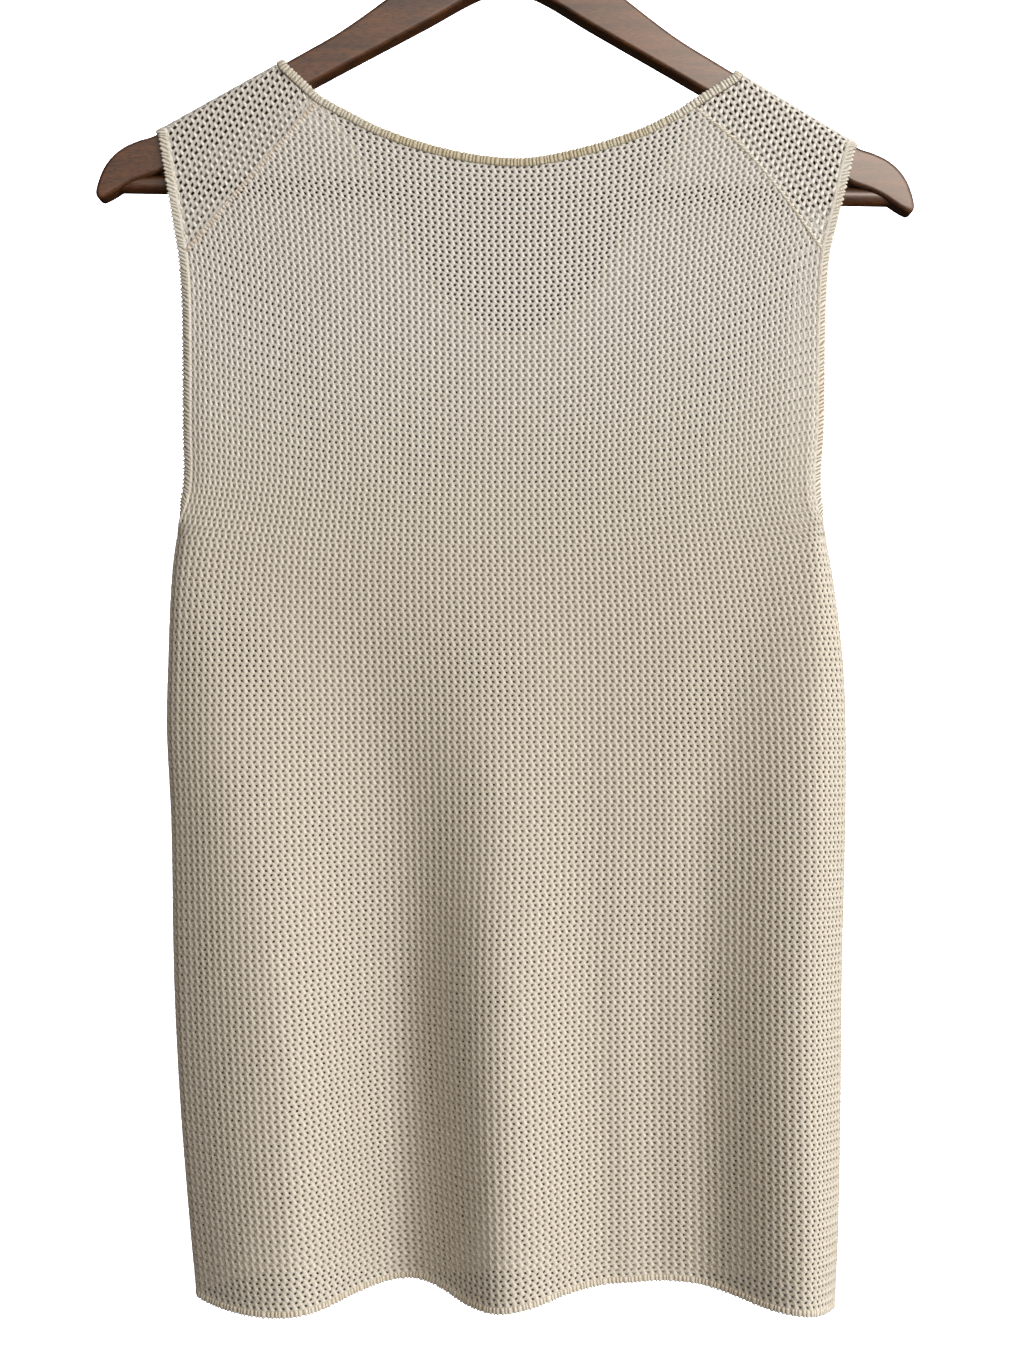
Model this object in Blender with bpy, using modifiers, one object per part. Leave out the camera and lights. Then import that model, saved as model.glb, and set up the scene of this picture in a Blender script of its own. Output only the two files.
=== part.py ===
"""Open-knit tank top hanging on a wooden suit hanger.

The origin is the point inside the top of the hook where the hanger hangs from a rail. +X is the garment's
right as seen from behind it, -Y is the side that the back panel faces and +Z is up. Sizes below are in
millimetres, and heights are given as drops below the origin.
"""

import math

import bmesh
import bpy
from mathutils import Matrix, Vector

MM = 0.001
COLLECTION = "Tank top on hanger"

# Cloth
WALL = 2.0  # thickness of the open knit
SEAM_GAP = 0.7  # between the middles of two panels' end faces, about 0.3 clear
BAND_GAP = 0.6
BINDING_WIDTH = 4.6
BINDING_THICKNESS = 2.6
HEM_WIDTH = 3.1
HEM_THICKNESS = 2.6

# Hanger
TILT = math.radians(1.0)  # the hanger hangs this much low on its right
ARM_THICKNESS = 14.0
ARM_EDGE_ROUNDING = 2.3
BAR_RADIUS = 5.0
BAR_DROP = 207.8
BAR_HALF_LENGTH = 210.0
BAR_CLEARANCE = 0.3
WIRE_RADIUS = 2.0
HOOK_INNER_RADIUS = 18.0
HOOK_STEM_TOP = 44.0  # drop at which the straight stem starts to bend
HOOK_ARC_START = math.radians(-50)  # where the stem's bend meets the round of the hook
HOOK_ARC_END = math.radians(212)

# Upper edge of one arm, in the hanger's own upright frame, from its middle to the tip's bottom
ARM_TOP = (  # out from the middle, drop
    (0, 60.0),
    (13, 62.5),
    (29, 74.5),
    (48, 92.0),
    (68, 107.8),
    (91, 124.6),
    (110, 136.0),
    (148, 158.0),
    (182, 177.6),
    (191, 182.8),
    (199, 185.4),
    (207, 189.2),
    (213.5, 194.8),
    (217.8, 201.2),
    (220.4, 208.2),
    (221.5, 213.6),
    (220.7, 216.4),
    (218.6, 217.4),
)
ARM_BOTTOM = (  # out from the middle, drop
    (216.5, 216.6),
    (212.5, 214.4),
    (205.6, 209.8),
    (198, 205.2),
    (186, 199.4),
    (140, 172.5),
    (95, 147.0),
    (44, 118.8),
    (16, 103.0),
    (0, 98.5),
)
STRAIGHT_ARM = (110.0, 191.0)  # the stretch of arm that carries the straps, out from the middle

# Where the cloth lies on the arms: its middle surface, over the wood
LIE_CLEARANCE = 1.1
LIE_HALF_GAP = ARM_THICKNESS / 2 + LIE_CLEARANCE + WALL / 2
LIE_TURN = 5.5  # height over which a strap turns over the top of the arm
LIE_SQUARENESS = 2.6  # exponent of the turn's section, 2 for an ellipse
STRAP_ON_ARM = {"left": (-125.5, -185.2), "right": (128.2, 186.0)}  # neck side, armhole side

# Edges of the panels: (drop, x). The first row of each armhole edge comes from the strap.
EDGE_OF_PANEL = {
    "left": (
        (203, -182.6),
        (221, -179.2),
        (242, -175.3),
        (270, -173.4),
        (335, -172.9),
        (372, -173.2),
        (394, -181.0),
        (420, -184.4),
        (463, -186.2),
        (500, -187.0),
        (550, -184.6),
        (637, -183.0),
        (702, -179.8),
        (768, -174.6),
        (806, -171.0),
    ),
    "right": (
        (203, 177.2),
        (221, 171.9),
        (241, 166.9),
        (270, 164.8),
        (335, 163.8),
        (375, 162.4),
        (397, 169.6),
        (420, 174.0),
        (463, 179.2),
        (500, 180.8),
        (550, 180.6),
        (637, 178.6),
        (702, 178.0),
        (768, 176.8),
        (811, 175.0),
    ),
}
UNDERARM = {"left": 394.0, "right": 397.0}  # drop of each side seam's upper end
ARMHOLE_BOTTOM = 14.0  # height of the round at the bottom of an armhole

# Free edge of the hem: (x, drop), lower on the folds that stand out
BACK_HEM = (
    (-171, 806.8),
    (-153, 809.9),
    (-130, 811.0),
    (-107, 809.4),
    (-83, 805.0),
    (-55, 802.3),
    (-38, 804.4),
    (-22, 808.2),
    (-6, 809.2),
    (10, 807.0),
    (32, 803.0),
    (66, 801.5),
    (86, 802.0),
    (106, 804.9),
    (130, 809.0),
    (152, 811.0),
    (168, 813.3),
    (175, 814.0),
)
FRONT_HEM = (
    (-171, 806.8),
    (-122, 807.0),
    (-52, 804.0),
    (22, 808.0),
    (84, 806.0),
    (134, 811.0),
    (175, 814.0),
)

# Seams between the straps and the back panel, and the panels' edges under the neck binding: (x, drop)
SHOULDER_SEAM = {
    "left": ((-175.3, 242.0), (-141.0, 202.5), (-106.0, 163.0)),
    "right": ((166.9, 241.0), (145.0, 210.5), (125.0, 187.0), (99.5, 165.5)),
}
BACK_NECK = (
    (-106.0, 163.0),
    (-92.0, 170.7),
    (-69.0, 182.0),
    (-33.0, 193.0),
    (3.0, 197.4),
    (33.0, 193.0),
    (69.0, 182.0),
    (91.0, 171.2),
    (99.5, 165.5),
)
FRONT_NECK = (
    (-104.2, 165.8),
    (-82.5, 195.6),
    (-60.4, 234.4),
    (-34.6, 271.3),
    (1.7, 289.0),
    (37.9, 271.3),
    (63.7, 234.4),
    (85.8, 195.6),
    (107.5, 165.8),
)

SIDE_FULLNESS = 1.8  # slope beside the tube's rounded sides, as a share of the slope up to the first crease

# Folds that the body hangs in. Each row is one crease, with its place and depth at four levels.
FOLD_LEVELS = (430.0, 540.0, 650.0, 808.0)
SMOOTH_LEVELS = ((180.0, LIE_HALF_GAP), (250.0, LIE_HALF_GAP), (340.0, 11.0))  # drop, depth above the folds
BACK_CREASES = (  # x at each level, then y at each level
    {"x": (-164, -147, -128, -118), "y": (-11, -19, -25, -30)},  # left ridge
    {"x": (-92, -66, -63, -57), "y": (-9, -3, 5, 11)},  # left trough
    {"x": (-17, -8, -6, -2), "y": (-12, -18, -25, -30)},  # middle ridge
    {"x": (48, 50, 52, 60), "y": (-11, -10, -7, 0)},  # middle trough
    {"x": (83, 80, 80, 82), "y": (-11, -9, -3, 4)},  # step in the middle trough
    {"x": (130, 104, 98, 97), "y": (-10, -7, -3, 3)},  # right trough
    {"x": (163, 159, 154, 155), "y": (-12, -19, -24, -29)},  # right ridge
)
FRONT_CREASES = (
    {"x": (-140, -135, -128, -122), "y": (12, 20, 30, 38)},  # left ridge
    {"x": (-70, -66, -60, -52), "y": (11, 16, 22, 27)},  # left trough
    {"x": (-5, 4, 14, 22), "y": (12, 22, 33, 42)},  # middle ridge
    {"x": (60, 66, 74, 84), "y": (11, 16, 23, 29)},  # right trough
    {"x": (120, 124, 130, 134), "y": (12, 21, 31, 39)},  # right ridge
)

# How finely the pieces are divided
SEAM_STEPS = (0.0, 0.008, 0.05, 0.13, 0.25, 0.37, 0.49, 0.62, 0.75, 0.87, 1.0)  # armhole to neck
NECK_COLUMNS = 24
BODY_ROWS = 12
ARMHOLE_BOTTOM_ROWS = (1.2, 4.0, 8.5, ARMHOLE_BOTTOM)  # heights above the underarm
ARMHOLE_ROWS = {"back": 5, "front": 7}
TURN_ROWS = 8
STRAP_ROWS = 4
ARM_TOP_STEPS = 44
ARM_BOTTOM_STEPS = 20
BAR_SEGMENTS = 24
HOOK_BEND_STEPS = 6
HOOK_ARC_STEPS = 24
BEND_TENSION = 0.4  # share of the bend's length that its curve sets out straight for
SHARP_ANGLE = math.radians(40)  # edges turned by more than this aren't smoothed over

MATERIALS = {  # sRGB colour, metallic, roughness
    "knit": ((225, 218, 200), 0.0, 0.85),
    "rib": ((207, 196, 168), 0.0, 0.85),
    "wood": ((86, 60, 42), 0.0, 0.38),
    "wire": ((150, 150, 148), 1.0, 0.28),
}


# ---------------------------------------------------------------- curves and blends


def lerp(a, b, t):
    return a + (b - a) * t


def smooth_step(t):
    t = min(max(t, 0.0), 1.0)
    return t * t * (3 - 2 * t)


def through(points, at):
    """Value at `at` of a smooth curve through (position, value) points, held at its ends."""
    places = [p[0] for p in points]
    values = [p[1] for p in points]
    if at <= places[0]:
        return values[0]
    if at >= places[-1]:
        return values[-1]
    i = max(k for k in range(len(places) - 1) if places[k] <= at)

    def slope(k):
        low, high = max(k - 1, 0), min(k + 1, len(places) - 1)
        return (values[high] - values[low]) / (places[high] - places[low])

    span = places[i + 1] - places[i]
    t = (at - places[i]) / span
    h00 = (1 + 2 * t) * (1 - t) ** 2
    h10 = t * (1 - t) ** 2
    h01 = t * t * (3 - 2 * t)
    h11 = t * t * (t - 1)
    return h00 * values[i] + h10 * span * slope(i) + h01 * values[i + 1] + h11 * span * slope(i + 1)


def spread_along(points, fractions):
    """Points at these fractions of the length of a smooth line through (x, drop) points."""
    lengths = [0.0]
    for (xa, za), (xb, zb) in zip(points, points[1:]):
        lengths.append(lengths[-1] + math.hypot(xb - xa, zb - za))
    xs = [(length, p[0]) for length, p in zip(lengths, points)]
    drops = [(length, p[1]) for length, p in zip(lengths, points)]
    return [(through(xs, f * lengths[-1]), through(drops, f * lengths[-1])) for f in fractions]


def tilted(x, drop):
    """A point of the upright hanger as it hangs, turned about the hanging point."""
    z = -drop
    return x * math.cos(TILT) + z * math.sin(TILT), x * math.sin(TILT) - z * math.cos(TILT)


# ---------------------------------------------------------------- the garment's form


def strap_on_arm(side, fraction):
    """A strap's middle line on the top of the arm and the direction down the arm's face, as (x, drop)."""
    neck, armhole = STRAP_ON_ARM[side]
    x = lerp(neck, armhole, fraction)
    (inner, inner_drop), (outer, outer_drop) = (
        (reach, through(ARM_TOP, reach)) for reach in STRAIGHT_ARM
    )
    slope = math.atan2(outer_drop - inner_drop, outer - inner)
    drop = inner_drop + (abs(x) - inner) * math.tan(slope)
    lift = (LIE_CLEARANCE + WALL / 2) / math.cos(slope)
    out = math.copysign(1.0, x)
    top = tilted(x, drop - lift)
    below = tilted(x - out * math.sin(slope), drop - lift + math.cos(slope))
    return top, (below[0] - top[0], below[1] - top[1])


def strap_foot(side, fraction):
    """Where a strap leaves the round over the arm, the same on both faces, as (x, drop)."""
    (x, drop), (dx, dd) = strap_on_arm(side, fraction)
    return x + dx * LIE_TURN, drop + dd * LIE_TURN


def panel_edge(side, drop):
    """x of the panels' edge at this drop: the armhole's edge above the underarm, the side seam below."""
    corner = strap_foot(side, 1.0)
    return through(((corner[1], corner[0]),) + EDGE_OF_PANEL[side], drop)


def edge_angle(side, drop):
    """How far round the side of the tube the panels' edge lies: 0 at the side seam, 90 degrees at an armhole."""
    rise = (UNDERARM[side] - drop) / ARMHOLE_BOTTOM
    if rise <= 0:
        return 0.0
    if rise >= 1:
        return math.pi / 2
    return math.asin(math.sqrt(1 - (1 - rise) ** 2))


def creases_at(creases, drop, face):
    """Place and depth of each crease at one drop, as (x, y). face is -1 on the back and 1 on the front."""
    found = []
    for crease in creases:
        above = tuple((level, face * depth) for level, depth in SMOOTH_LEVELS)
        depth = through(above + tuple(zip(FOLD_LEVELS, crease["y"])), drop)
        found.append((through(tuple(zip(FOLD_LEVELS, crease["x"])), drop), depth))
    return found


def side_round(face, edge, out, angle, crease):
    """The tube's rounded side: the x of its middle, where it ends as (x, y), and the cloth's slope beside it."""
    centre = edge - out * LIE_HALF_GAP * math.cos(angle)
    slope = 0.0
    for _ in range(6):
        reach = abs(centre + out * LIE_HALF_GAP * math.sin(slope) - crease[0])
        rise = face * crease[1] - LIE_HALF_GAP * math.cos(slope)
        slope = max(math.atan2(SIDE_FULLNESS * rise, reach), 0.0)
    end = min(slope, math.pi / 2 - angle)
    finish = centre + out * LIE_HALF_GAP * math.sin(end), face * LIE_HALF_GAP * math.cos(end)
    return centre, finish, face * math.tan(slope)


def on_creases(knots, x, slopes):
    """y at x on the folds through the knots (x, y). The first and last fold start at the sides' slopes."""
    last = len(knots) - 2
    i = 0
    while i < last and x > knots[i + 1][0]:
        i += 1
    (xa, ya), (xb, yb) = knots[i], knots[i + 1]
    t = (x - xa) / (xb - xa)
    y = lerp(ya, yb, smooth_step(t))
    if i == 0:
        y += slopes[0] * (xb - xa) * t * (1 - t) ** 2
    if i == last:
        y += slopes[1] * (xb - xa) * (1 - t) * t**2
    return y


def cloth_depth(creases, x, drop, face):
    """y of a panel's middle surface."""
    knots = creases_at(creases, drop, face)
    ends, slopes = [], []
    for side, out, crease in (("left", -1.0, knots[0]), ("right", 1.0, knots[-1])):
        edge, angle = panel_edge(side, drop), edge_angle(side, drop)
        centre, finish, slope = side_round(face, edge, out, angle, crease)
        if out * (x - finish[0]) > 0:
            share = min(abs(x - centre) / LIE_HALF_GAP, 1.0)
            return face * max(LIE_HALF_GAP * math.sqrt(1 - share**2), SEAM_GAP / 2)
        ends.append(finish)
        slopes.append(slope)
    return on_creases([ends[0]] + knots + [ends[1]], x, slopes)


def hem_drop(free_edge, x):
    return through(free_edge, x) - HEM_WIDTH - BAND_GAP


# ---------------------------------------------------------------- the panels' nets


def column_shares():
    """Shares of the width at the hem for each column: a seam's steps, the neck's columns, a seam's steps."""
    left = SHOULDER_SEAM["left"]
    right = SHOULDER_SEAM["right"]
    width = right[0][0] - left[0][0]
    left_neck = (left[-1][0] - left[0][0]) / width
    right_neck = (right[-1][0] - left[0][0]) / width
    shares = [left_neck * step for step in SEAM_STEPS]
    shares += [lerp(left_neck, right_neck, k / NECK_COLUMNS) for k in range(1, NECK_COLUMNS)]
    shares += [1 - (1 - right_neck) * step for step in reversed(SEAM_STEPS)]
    return shares


def side_drops(side, panel, hem, top):
    """Drops of a panel's rows on one side edge, from the hem up."""
    under = UNDERARM[side]
    drops = [lerp(hem, under, k / BODY_ROWS) for k in range(BODY_ROWS + 1)]
    drops += [under - height for height in ARMHOLE_BOTTOM_ROWS]
    start = drops[-1]
    rows = ARMHOLE_ROWS[panel]
    return drops + [lerp(start, top, k / rows) for k in range(1, rows + 1)]


def patch(bottom, top, left, right, shares):
    """Net of (x, drop) points, net[column][row], blended between a panel's four edges."""
    left_height = left[0][1] - left[-1][1]
    right_height = right[0][1] - right[-1][1]
    height = []
    for at_left, at_right in zip(left, right):
        share_left = (left[0][1] - at_left[1]) / left_height
        share_right = (right[0][1] - at_right[1]) / right_height
        height.append((share_left + share_right) / 2)
    net = []
    for u, low, high in zip(shares, bottom, top):
        column = []
        for v, at_left, at_right in zip(height, left, right):
            point = []
            for axis in (0, 1):
                ruled = lerp(low[axis], high[axis], v)
                off_left = at_left[axis] - lerp(bottom[0][axis], top[0][axis], v)
                off_right = at_right[axis] - lerp(bottom[-1][axis], top[-1][axis], v)
                point.append(ruled + (1 - u) * off_left + u * off_right)
            column.append(tuple(point))
        net.append(column)
    return net


def body_net(panel, free_hem, creases, face, top):
    """A panel's middle surface as Vectors in millimetres, net[column][row], from hem to `top`."""
    shares = column_shares()
    ends = panel_edge("left", free_hem[0][1]), panel_edge("right", free_hem[-1][1])
    bottom = [(lerp(*ends, share), hem_drop(free_hem, lerp(*ends, share))) for share in shares]
    sides = {}
    for side, column in (("left", 0), ("right", -1)):
        drops = side_drops(side, panel, bottom[column][1], top[column][1])
        sides[side] = [(panel_edge(side, drop), drop) for drop in drops]
        sides[side][-1] = top[column]
    net = patch(bottom, top, sides["left"], sides["right"], shares)
    return [
        [Vector((x, cloth_depth(creases, x, drop, face), -drop)) for x, drop in column] for column in net
    ]


def back_net():
    left = spread_along(SHOULDER_SEAM["left"], SEAM_STEPS)
    right = spread_along(SHOULDER_SEAM["right"], SEAM_STEPS)
    neck = spread_along(BACK_NECK, [k / NECK_COLUMNS for k in range(1, NECK_COLUMNS)])
    return body_net("back", BACK_HEM, BACK_CREASES, -1, left + neck + right[::-1])


def front_net():
    left = [strap_foot("left", 1 - step) for step in SEAM_STEPS]
    right = [strap_foot("right", 1 - step) for step in SEAM_STEPS]
    neckline = (left[-1],) + FRONT_NECK + (right[-1],)
    neck = spread_along(neckline, [k / NECK_COLUMNS for k in range(1, NECK_COLUMNS)])
    return body_net("front", FRONT_HEM, FRONT_CREASES, 1, left + neck + right[::-1])


def strap_net(side):
    """Rows of one strap above the front body, over the arm and down the back to its seam, net[step][row]."""
    seam = spread_along(SHOULDER_SEAM[side], SEAM_STEPS)
    net = []
    for step, (seam_x, seam_drop) in zip(SEAM_STEPS, seam):
        (x, drop), (dx, dd) = strap_on_arm(side, 1 - step)
        rows = []
        for k in range(1, TURN_ROWS + 1):
            angle = math.pi * k / TURN_ROWS
            across = math.copysign(abs(math.cos(angle)) ** (2 / LIE_SQUARENESS), math.cos(angle))
            down = LIE_TURN * (1 - math.sin(angle) ** (2 / LIE_SQUARENESS)) if k < TURN_ROWS else LIE_TURN
            rows.append(Vector((x + dx * down, LIE_HALF_GAP * across, -(drop + dd * down))))
        foot = rows[-1]
        end = Vector((seam_x, -LIE_HALF_GAP, -seam_drop))
        end += (foot - end).normalized() * SEAM_GAP
        rows += [foot.lerp(end, k / STRAP_ROWS) for k in range(1, STRAP_ROWS + 1)]
        net.append(rows)
    return net


# ---------------------------------------------------------------- meshes


def linear(channel):
    channel /= 255
    return channel / 12.92 if channel <= 0.04045 else ((channel + 0.055) / 1.055) ** 2.4


def material(name):
    found = bpy.data.materials.get(name)
    if found:
        return found
    colour, metallic, roughness = MATERIALS[name]
    made = bpy.data.materials.new(name)
    made.use_nodes = True
    shader = made.node_tree.nodes["Principled BSDF"]
    shader.inputs["Base Color"].default_value = (*(linear(c) for c in colour), 1.0)
    shader.inputs["Metallic"].default_value = metallic
    shader.inputs["Roughness"].default_value = roughness
    return made


def add_object(name, data, material_name, collection):
    obj = bpy.data.objects.new(name, data)
    data.materials.append(material(material_name))
    collection.objects.link(obj)
    return obj


def cloth_object(name, net, thickness, material_name, collection, closed=False):
    """A sheet with the points net[column][row] in millimetres, None where it has none, as a solid wall."""
    columns = len(net) - 1
    rows = max(len(column) for column in net) - 1
    mesh = bmesh.new()
    bmesh.ops.create_grid(mesh, x_segments=columns, y_segments=rows, size=1.0)
    outside = []
    for vertex in mesh.verts:
        column = net[round((vertex.co.x + 1) / 2 * columns)]
        row = round((vertex.co.y + 1) / 2 * rows)
        if row < len(column):
            vertex.co = column[row] * MM
        else:
            outside.append(vertex)
    bmesh.ops.delete(mesh, geom=outside, context="VERTS")
    if closed:
        bmesh.ops.remove_doubles(mesh, verts=mesh.verts, dist=0.001 * MM)
    bmesh.ops.recalc_face_normals(mesh, faces=mesh.faces)
    data = bpy.data.meshes.new(name)
    mesh.to_mesh(data)
    mesh.free()
    data.shade_smooth()
    obj = add_object(name, data, material_name, collection)
    wall = obj.modifiers.new("Wall", "SOLIDIFY")
    wall.thickness = thickness * MM
    wall.offset = 0.0
    return obj


def band_object(name, edge, inner, width, thickness, material_name, collection):
    """A closed band that carries on past a panel's edge. edge and inner are rings of points, in order."""
    count = len(edge)
    outward = []
    for k in range(count):
        along = (edge[(k + 1) % count] - edge[k - 1]).normalized()
        away = edge[k] - inner[k]
        outward.append((away - along * away.dot(along)).normalized())
    softened = []
    for k in range(count):
        beside = outward[k - 1] + outward[(k + 1) % count]
        softened.append((beside + 2 * outward[k]).normalized())
    net = []
    for point, away in zip(edge + edge[:1], softened + softened[:1]):
        net.append([point + away * BAND_GAP, point + away * (BAND_GAP + width)])
    return cloth_object(name, net, thickness, material_name, collection, closed=True)


def make_cloth(collection):
    back, front = back_net(), front_net()
    seam_columns = len(SEAM_STEPS)
    straps = {side: strap_net(side) for side in ("left", "right")}
    whole_front = [list(column) for column in front]
    for step in range(seam_columns):
        whole_front[step] += straps["left"][step]
        whole_front[-1 - step] += straps["right"][step]
    cloth_object("back_panel", back, WALL, "knit", collection)
    cloth_object("front_panel", whole_front, WALL, "knit", collection)

    left, right = seam_columns - 1, len(front) - seam_columns
    body_top = len(front[0]) - 1
    strap_rows = range(len(whole_front[0]) - 1, body_top, -1)
    edge = [whole_front[left][row] for row in strap_rows]
    inner = [whole_front[left - 1][row] for row in strap_rows]
    edge += [front[column][body_top] for column in range(left, right + 1)]
    inner += [front[column][body_top - 1] for column in range(left, right + 1)]
    edge += [whole_front[right][row] for row in reversed(strap_rows)]
    inner += [whole_front[right + 1][row] for row in reversed(strap_rows)]
    edge += [back[column][-1] for column in range(right - 1, left, -1)]
    inner += [back[column][-2] for column in range(right - 1, left, -1)]
    band_object("neck_binding", edge, inner, BINDING_WIDTH, BINDING_THICKNESS, "rib", collection)

    for side, column, beside in (("left", 0, 1), ("right", -1, -2)):
        start = BODY_ROWS + 1
        edge = [(front[column][BODY_ROWS] + back[column][BODY_ROWS]) / 2]
        inner = [(front[column][BODY_ROWS - 1] + back[column][BODY_ROWS - 1]) / 2]
        edge += whole_front[column][start:]
        inner += whole_front[beside][start:]
        edge += back[column][-2 : start - 1 : -1]
        inner += back[beside][-2 : start - 1 : -1]
        name = "armhole_binding_" + side
        band_object(name, edge, inner, BINDING_WIDTH, BINDING_THICKNESS, "rib", collection)

    edge = [column[0] for column in back[1:-1]] + [(back[-1][0] + front[-1][0]) / 2]
    inner = [column[1] for column in back[1:-1]] + [(back[-1][1] + front[-1][1]) / 2]
    edge += [column[0] for column in front[-2:0:-1]] + [(back[0][0] + front[0][0]) / 2]
    inner += [column[1] for column in front[-2:0:-1]] + [(back[0][1] + front[0][1]) / 2]
    band_object("hem_edging", edge, inner, HEM_WIDTH, HEM_THICKNESS, "rib", collection)


def curve_object(name, points, cyclic, material_name, collection):
    """A poly curve through points in millimetres."""
    data = bpy.data.curves.new(name, "CURVE")
    spline = data.splines.new("POLY")
    spline.points.add(len(points) - 1)
    for point, place in zip(spline.points, points):
        point.co = (*(c * MM for c in place), 1.0)
    spline.use_cyclic_u = cyclic
    return add_object(name, data, material_name, collection)


def as_mesh(curve):
    """The curve's object made a mesh object, with its caps welded on."""
    graph = bpy.context.evaluated_depsgraph_get()
    data = bpy.data.meshes.new_from_object(curve.evaluated_get(graph))
    mesh = bmesh.new()
    mesh.from_mesh(data)
    bmesh.ops.remove_doubles(mesh, verts=mesh.verts, dist=0.01 * MM)
    mesh.to_mesh(data)
    mesh.free()
    name, matrix, collection = curve.name, curve.matrix_world.copy(), curve.users_collection[0]
    bpy.data.objects.remove(curve)
    data.name = name
    obj = bpy.data.objects.new(name, data)
    obj.matrix_world = matrix
    collection.objects.link(obj)
    return obj


def bar_object(name, radius, half_length, collection):
    """A round bar along X at the trouser bar's height, upright."""
    mesh = bmesh.new()
    bmesh.ops.create_cone(
        mesh,
        cap_ends=True,
        segments=BAR_SEGMENTS,
        radius1=radius * MM,
        radius2=radius * MM,
        depth=2 * half_length * MM,
        matrix=Matrix.Rotation(math.pi / 2, 4, "Y"),
    )
    data = bpy.data.meshes.new(name)
    mesh.to_mesh(data)
    mesh.free()
    data.shade_smooth()
    data.set_sharp_from_angle(angle=SHARP_ANGLE)
    obj = bpy.data.objects.new(name, data)
    collection.objects.link(obj)
    obj.location = Vector((0, 0, -BAR_DROP * MM))
    return obj


def make_hanger(collection, cutters):
    hang = bpy.data.objects.new("hang", None)
    hang.rotation_euler = (0, TILT, 0)
    collection.objects.link(hang)

    top = spread_along(ARM_TOP, [k / ARM_TOP_STEPS for k in range(ARM_TOP_STEPS + 1)])
    bottom = spread_along(ARM_BOTTOM, [k / ARM_BOTTOM_STEPS for k in range(ARM_BOTTOM_STEPS + 1)])
    right = top + bottom
    outline = [(x, -drop, 0) for x, drop in right] + [(-x, -drop, 0) for x, drop in right[-2:0:-1]]
    wood = curve_object("hanger_body", outline, True, "wood", collection)
    wood.data.dimensions = "2D"
    wood.data.fill_mode = "BOTH"
    wood.data.extrude = (ARM_THICKNESS / 2 - ARM_EDGE_ROUNDING) * MM
    wood.data.bevel_depth = ARM_EDGE_ROUNDING * MM
    wood.data.bevel_resolution = 1
    wood.data.offset = -ARM_EDGE_ROUNDING * MM
    wood.rotation_euler = (math.pi / 2, 0, 0)
    bpy.context.view_layer.update()
    body = as_mesh(wood)
    body.parent = hang
    hole = bar_object("bar_hole", BAR_RADIUS + BAR_CLEARANCE, BAR_HALF_LENGTH + BAR_CLEARANCE, cutters)
    hole.hide_render = True
    hole.display_type = "WIRE"
    hole.parent = hang
    cut = body.modifiers.new("Bar hole", "BOOLEAN")
    cut.object = hole

    bar = bar_object("trouser_bar", BAR_RADIUS, BAR_HALF_LENGTH, collection)
    bar.data.materials.append(material("wood"))
    bar.parent = hang

    radius = HOOK_INNER_RADIUS + WIRE_RADIUS
    centre = Vector((0, 0, -HOOK_INNER_RADIUS))
    foot = Vector((0, 0, -(ARM_TOP[0][1] - BAR_CLEARANCE)))
    bend = Vector((0, 0, -HOOK_STEM_TOP))
    start = centre + radius * Vector((math.cos(HOOK_ARC_START), 0, math.sin(HOOK_ARC_START)))
    away = Vector((-math.sin(HOOK_ARC_START), 0, math.cos(HOOK_ARC_START)))
    reach = (start - bend).length * BEND_TENSION
    points = [foot, foot.lerp(bend, 0.5)]
    handles = bend, bend + Vector((0, 0, reach)), start - away * reach, start
    for k in range(HOOK_BEND_STEPS):
        t = k / HOOK_BEND_STEPS
        weights = (1 - t) ** 3, 3 * t * (1 - t) ** 2, 3 * t * t * (1 - t), t**3
        points.append(sum((w * handle for w, handle in zip(weights, handles)), Vector()))
    for k in range(HOOK_ARC_STEPS + 1):
        angle = lerp(HOOK_ARC_START, HOOK_ARC_END, k / HOOK_ARC_STEPS)
        points.append(centre + radius * Vector((math.cos(angle), 0, math.sin(angle))))
    hook = curve_object("hanger_hook", points, False, "wire", collection)
    hook.data.dimensions = "3D"
    hook.data.bevel_depth = WIRE_RADIUS * MM
    hook.data.bevel_resolution = 2
    hook.data.use_fill_caps = True
    hook.parent = hang


def main():
    for obj in list(bpy.data.objects):
        bpy.data.objects.remove(obj)
    collection = bpy.data.collections.new(COLLECTION)
    cutters = bpy.data.collections.new("Cutters")
    bpy.context.scene.collection.children.link(collection)
    bpy.context.scene.collection.children.link(cutters)
    make_cloth(collection)
    make_hanger(collection, cutters)


main()
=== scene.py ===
"""Looks of an open-knit tank top on a wooden suit hanger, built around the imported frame.

The origin is where the hanger hangs from a rail, +X is to the right as the garment's back is seen, -Y is the
side that the back panel faces and +Z is up. The tables below are in millimetres, with heights as drops below
the origin, and give the same form as the solids.
"""

import math

import bmesh
import bpy
import numpy as np
from mathutils import Matrix, Vector


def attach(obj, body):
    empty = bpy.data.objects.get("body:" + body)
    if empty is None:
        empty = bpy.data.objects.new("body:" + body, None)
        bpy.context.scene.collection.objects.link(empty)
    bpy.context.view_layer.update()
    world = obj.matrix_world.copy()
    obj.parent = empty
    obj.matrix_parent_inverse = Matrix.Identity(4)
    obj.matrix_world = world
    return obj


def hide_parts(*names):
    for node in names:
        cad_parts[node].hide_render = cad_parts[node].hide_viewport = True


bl_info = {
    "name": "Open-knit tank top on a hanger",
    "version": (1, 0, 0),
    "blender": (4, 5, 0),
    "location": "3D View > Sidebar > Tank Top",
    "description": "Builds the knit panels, ribbed bands, seams and wooden hanger around their solids",
    "category": "Object",
}

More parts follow.
